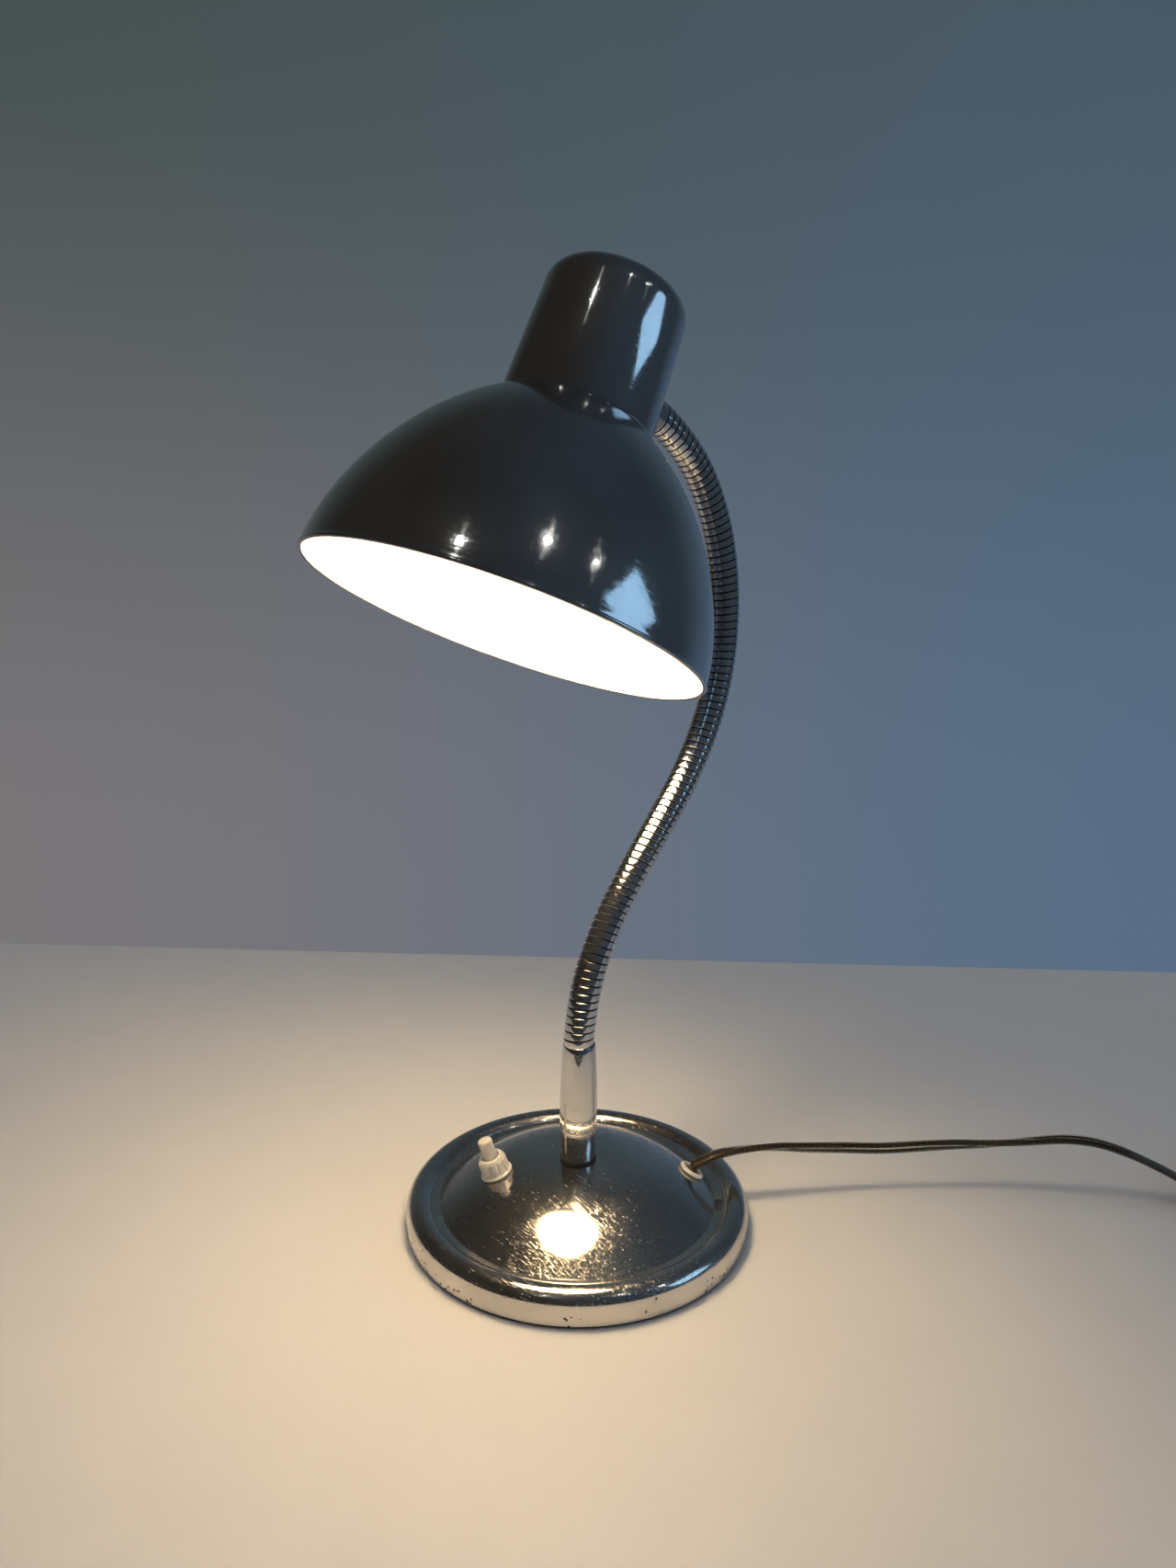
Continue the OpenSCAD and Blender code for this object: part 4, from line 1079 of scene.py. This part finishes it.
def neck_curve():
    """The neck's middle line as a curve: from inside the ferrule, through every joint, into the sleeve."""
    place = fixing_place()
    outward = (place.to_3x3() @ Vector((0, 0, 1))).normalized()
    points = [PIVOTS[0] - Vector((0, 0, 14 * MM))] + PIVOTS + [PIVOTS[-1] - outward * 14 * MM]
    line = curve_through(points, (Vector((0, 0, 1)), -outward), 16)
    data = bpy.data.curves.new("neck_line", "CURVE")
    data.dimensions = "3D"
    spline = data.splines.new("POLY")
    spline.points.add(len(line) - 1)
    for point, place in zip(spline.points, line):
        point.co = (*place, 1)
    curve = bpy.data.objects.new("neck_line", data)
    bpy.context.scene.collection.objects.link(curve)
    return curve


NECK_START = 9 * MM  # from the curve's start to the ferrule's top
STRIP_STEPS = 44  # steps in one turn of the strip
GAP_DEPTH = 0.55 * MM  # the dark finish, painted shade in the gaps, starts this far under the strip's top


def neck_bounds():
    """Where each piece of the neck begins and ends, in whole turns of the strip from the ferrule's top."""
    size = sizes()
    turns = round(size.neck_length / size.turn_pitch)
    lead_in = 5 * MM
    link = (PIVOTS[1] - PIVOTS[0]).length
    marks = [-1]
    for k in range(len(PIVOTS) - 1):
        marks.append(round((lead_in + link * (k + 0.5)) / size.turn_pitch))
    marks.append(turns + 1)
    return marks


class LAMP_OT_neck(bpy.types.Operator):
    """Wind the neck's strip, one piece over each joint, and bend it along the neck"""

    bl_idname = "lamp.neck"
    bl_label = "Neck"

    def execute(self, context):
        size = sizes()
        pitch = size.turn_pitch
        r = size.neck_radius
        curve = neck_curve()
        marks = neck_bounds()
        strip = [(r - 0.8 * MM, 0.0), (r - 0.8 * MM, 0.09), (r - 0.12 * MM, 0.10), (r - 0.03 * MM, 0.125),
                 (r - 0.01 * MM, 0.27), (r, 0.5), (r - 0.01 * MM, 0.73), (r - 0.03 * MM, 0.875),
                 (r - 0.12 * MM, 0.90), (r - 0.8 * MM, 0.91), (r - 0.8 * MM, 1.0)]
        for index, (start, end) in enumerate(zip(marks, marks[1:])):
            low = NECK_START + start * pitch
            band = drawn(f"neck_turns_{index + 1:02d}", [(x, low + z * pitch) for x, z in strip])
            turns = end - start
            finish_with(band, "SCREW", axis="Z", angle=math.tau * turns, screw_offset=pitch * turns,
                        iterations=1, steps=STRIP_STEPS * turns, render_steps=STRIP_STEPS * turns,
                        use_merge_vertices=False)
            finish_with(band, "CURVE", object=curve, deform_axis="POS_Z")
            self.outwards(band)
            soften(band, 28)
            band.data.materials.append(FINISHES["neck_plate"])
            self.join_bodies(band, index)
            # The second finish is painted shade for the gaps between the turns
            band.data.materials.append(FINISHES["neck_gap"])
            self.paint_gap_shade(band, curve, r - GAP_DEPTH)
            if index:
                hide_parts(f"link_{index:02d}")
            self.wires(curve, index, low, NECK_START + end * pitch)
        discard(curve)
        return {"FINISHED"}

    def outwards(self, band):
        """Turns the strip's faces outwards."""
        select_only(band)
        bpy.ops.object.mode_set(mode="EDIT")
        bpy.ops.mesh.select_all(action="SELECT")
        bpy.ops.mesh.normals_make_consistent(inside=False)
        bpy.ops.object.mode_set(mode="OBJECT")

    def join_bodies(self, piece, index):
        """Moves the piece's place into its mesh."""
        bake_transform(piece)

    def paint_gap_shade(self, band, curve, radius):
        """Faces nearer to the neck's middle line than this radius get the dark finish: painted shade in the
        gaps between the turns.
        """
        line = [Vector(point.co[:3]) for point in curve.data.splines[0].points]
        for face in band.data.polygons:
            near = min((face.center - place).length for place in line)
            face.material_index = 1 if near < radius else 0

    def wires(self, curve, index, low, high):
        """The covered wires inside the neck."""
        wire = rod(f"neck_wire_{index + 1:02d}", 1.8 * MM, low, high, 12)
        bpy.ops.object.mode_set(mode="EDIT")
        cuts = 6
        for cut in range(1, cuts):
            bpy.ops.mesh.select_all(action="SELECT")
            bpy.ops.mesh.bisect(plane_co=(0, 0, low + (high - low) * cut / cuts), plane_no=(0, 0, 1))
        bpy.ops.object.mode_set(mode="OBJECT")
        settle(wire, wire.matrix_basis.copy())
        finish_with(wire, "CURVE", object=curve, deform_axis="POS_Z")
        soften(wire, 50)
        wire.data.materials.append(FINISHES["wire"])
        self.join_bodies(wire, index)
        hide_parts("neck_wires")


class LAMP_OT_sleeve(bpy.types.Operator):
    """Turn the sleeve that joins the neck to the cap"""

    bl_idname = "lamp.sleeve"
    bl_label = "Sleeve"

    def execute(self, context):
        end = 40.6
        outline = [(0, 29.3), (7.3, 29.3), (7.3, end - 0.5), (7.1, end - 0.1), (6.8, end), (0, end)]
        sleeve = turned("sleeve_plate", in_mm(outline), 64, 40)
        settle(sleeve, fixing_place())
        dress(sleeve, "head", "neck_metal", FINISHES["sleeve_plate"], replaces=["neck_sleeve", "link_12"])
        return {"FINISHED"}


# ---------------------------------------------------------------- head


class LAMP_OT_shade(bpy.types.Operator):
    """Turn the shade, plated outside and white inside"""

    bl_idname = "lamp.shade"
    bl_label = "Shade"

    def execute(self, context):
        size = sizes()
        rim = size.shade_radius
        rise = size.shade_rise
        wall = 0.9 * MM
        top = SHADE_TOP - wall
        bead = 1.0 * MM

        def side(z, offset=0.0):
            return (rim - offset) * (1 - (z / (rise - offset)) ** SHADE_FULLNESS) ** (1 / SHADE_FULLNESS)

        def white(face):
            out = Vector((face.center.x, face.center.y, 0)).length
            level = face.center.z
            if level > top:
                return False
            return level > -0.3 * MM and out < side(max(level, 0), wall * 0.6) and face.normal.z < 0.98

        steps = 64
        levels = [top * (0.014 + 0.986 * i / steps) for i in range(steps + 1)]
        middle = (rim - wall / 2, 0.1 * MM)
        outline = arc(middle, bead, -150, 62, 14)
        outline += [(side(level), level) for level in levels]
        outline += [(side(top) - 0.4 * MM, SHADE_TOP - 0.15 * MM), (side(top) - 1.0 * MM, SHADE_TOP)]
        outline += [(20.6 * MM, SHADE_TOP), (20.6 * MM, top)]
        outline += [(side(level, wall), level) for level in reversed(levels)] + [outline[0]]
        shade = turned("shade_shell", outline, 192, 40)
        shade.data.materials.append(FINISHES["shade_plate"])
        shade.data.materials.append(FINISHES["enamel"])
        chosen = [white(face) for face in shade.data.polygons]
        settle(shade, head_place())
        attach(shade, "head")
        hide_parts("shade")
        for face, inside in zip(shade.data.polygons, chosen):
            face.material_index = 1 if inside else 0
        return {"FINISHED"}


class LAMP_OT_cap(bpy.types.Operator):
    """Turn the tall cap above the shade"""

    bl_idname = "lamp.cap"
    bl_label = "Cap"

    def execute(self, context):
        size = sizes()
        low = SHADE_TOP
        foot = size.cap_radius
        head = 30.0 * MM
        bend = 11.0 * MM
        rise = 2.0 * MM
        wall = 0.8 * MM
        top = low + size.cap_height
        inset = head - bend
        middle = (inset, top - rise - bend)
        # The crown follows on from the corner without a break
        turn = 90 - 2 * math.degrees(math.atan(rise / inset))
        crown = (0, middle[1] - inset * math.tan(math.radians(turn)))
        crown_bend = bend + inset / math.cos(math.radians(turn))
        outline = [(foot - wall, low), (foot - 0.15 * MM, low), (foot, low + 0.25 * MM)]
        outline += arc(middle, bend, 0, turn, 28) + arc(crown, crown_bend, turn, 90, 16)[1:-1] + [(0, top)]
        inner = arc(crown, crown_bend - wall, 90, turn, 6)
        inner[0] = (0, top - wall)
        inner += arc(middle, bend - wall, turn, 0, 8)[1:]
        outline += inner + [outline[0]]
        cap = turned("cap_shell", outline, 160, 40)
        settle(cap, head_place())
        dress(cap, "head", "head_metal", FINISHES["cap_plate"], replaces=["cap"])
        return {"FINISHED"}


class LAMP_OT_bulb(bpy.types.Operator):
    """Turn the bulb's frosted glass"""

    bl_idname = "lamp.bulb"
    bl_label = "Bulb"

    def execute(self, context):
        radius = sizes().bulb_radius
        seat = FIXING_HEIGHT + 1.5 * MM - 25 * MM
        middle = seat - 67 * MM + radius
        neck = 12.6 * MM
        outline = arc((0, middle), radius, -90, 0, 20)
        steps = 20
        for i in range(1, steps + 1):
            u = i / steps
            z = middle + (seat - middle) * u
            outline.append((neck + (radius - neck) * (0.5 + 0.5 * math.cos(math.pi * u ** 0.9)), z))
        outline += [(0, seat)]
        glass = turned("bulb_globe", outline, 64, 60)
        settle(glass, head_place())
        dress(glass, "head", "bulb_glass", FINISHES["lit_glass"], replaces=["bulb_glass"])
        return {"FINISHED"}


class LAMP_OT_holder(bpy.types.Operator):
    """Turn the lampholder's body with its thread, and the ring that clamps the shade"""

    bl_idname = "lamp.holder"
    bl_label = "Lampholder"

    def execute(self, context):
        top = SHADE_TOP / MM
        low = top - 9
        outline = [(17.8, low), (19.0, low)]
        for i in range(6):
            z = low + 0.4 + i * 1.3
            outline += [(19.2, z), (19.75, z + 0.3), (19.75, z + 0.6), (19.2, z + 0.95)]
        outline += [(19.7, top), (24, top), (24, top + 4), (19.5, top + 4), (19.5, top + 28)]
        outline += [(18.5, top + 29), (6, top + 29), (6, top + 39), (0, top + 39), (0, top + 24.5)]
        outline += [(13.7, top + 24.5), (13.7, top - 2.5), (17.8, top - 2.5), (17.8, low)]
        holder = turned("lampholder_body", in_mm(outline), 96, 30)
        settle(holder, head_place())
        dress(holder, "head", "holder_plastic", FINISHES["bakelite"], replaces=["lampholder"])
        high = top - 0.95
        outline = [(19.9, high - 6), (24.6, high - 6), (25.6, high - 5.4), (25.8, high - 4.8)]
        outline += [(25.8, high - 0.4), (25.4, high), (19.9, high), (19.9, high - 6)]
        ring = turned("shade_ring_body", in_mm(outline), 96, 30)
        notched(ring, 0, 26.3 * MM, 1.2 * MM, (high - 8) * MM, (high + 2) * MM, 30)
        settle(ring, head_place())
        dress(ring, "head", "holder_plastic", FINISHES["bakelite"], replaces=["shade_ring"])
        return {"FINISHED"}


# ---------------------------------------------------------------- finishes of the frame's own pieces

NODE_FINISHES = {
    "rubber": ["base_pad", "foot_washer"],
    "steel": ["base_cover", "cover_screws", "clamp_screws", "stem_washer", "holder_bracket"],
    "iron": ["base_ballast"],
    "brass": ["stem_nipple", "stem_nut", "switch_terminals", "terminal_screws", "holder_shell",
              "holder_contact", "holder_terminals", "holder_screw", "upper_nipple", "upper_nut", "bulb_cap"],
    "ivory": ["switch_body"],
    "spring": ["switch_spring"],
    "clamp": ["cord_clamp"],
    "block": ["terminal_block"],
    "wire": ["base_wires", "base_lead"],
    "nickel": ["plug_pins"],
    "insulator": ["bulb_contact"],
}


class LAMP_OT_inner(bpy.types.Operator):
    """Give the frame's own pieces their finishes"""

    bl_idname = "lamp.inner"
    bl_label = "Inner pieces"

    def execute(self, context):
        for finish, nodes in NODE_FINISHES.items():
            for name in nodes:
                mesh = frame["nodes"][name].data
                mesh.materials.clear()
                mesh.materials.append(FINISHES[finish])
        self.press_spring()
        return {"FINISHED"}

    def press_spring(self):
        """Gives the spring under the switch button a mesh of its own."""
        spring = frame["nodes"]["switch_spring"]
        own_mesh(spring)


# ---------------------------------------------------------------- panel and run

STEPS = [
    LAMP_OT_stage, LAMP_OT_lead, LAMP_OT_base, LAMP_OT_switch, LAMP_OT_grommet, LAMP_OT_ferrule,
    LAMP_OT_neck, LAMP_OT_sleeve, LAMP_OT_shade, LAMP_OT_cap, LAMP_OT_bulb, LAMP_OT_holder,
    LAMP_OT_inner,
]


class LAMP_PT_panel(bpy.types.Panel):
    """Lists the lamp's sizes, colours and pieces"""

    bl_idname = "LAMP_PT_panel"
    bl_label = "Desk Lamp"
    bl_space_type = "VIEW_3D"
    bl_region_type = "UI"
    bl_category = "Desk Lamp"

    def draw(self, context):
        for group in (context.scene.lamp_sizes, context.scene.lamp_colours):
            column = self.layout.column(align=True)
            for name in group.__annotations__:
                column.prop(group, name)
        for step in STEPS:
            self.layout.operator(step.bl_idname)


CLASSES = [LampSizes, LampColours, *STEPS, LAMP_PT_panel]


def register():
    for each in CLASSES:
        bpy.utils.register_class(each)
    bpy.types.Scene.lamp_sizes = PointerProperty(type=LampSizes)
    bpy.types.Scene.lamp_colours = PointerProperty(type=LampColours)


def unregister():
    del bpy.types.Scene.lamp_colours
    del bpy.types.Scene.lamp_sizes
    for each in reversed(CLASSES):
        bpy.utils.unregister_class(each)


def main():
    register()
    mix_finishes()
    for step in STEPS:
        module, name = step.bl_idname.split(".")
        getattr(getattr(bpy.ops, module), name)()


if __name__ == "__main__":
    main()
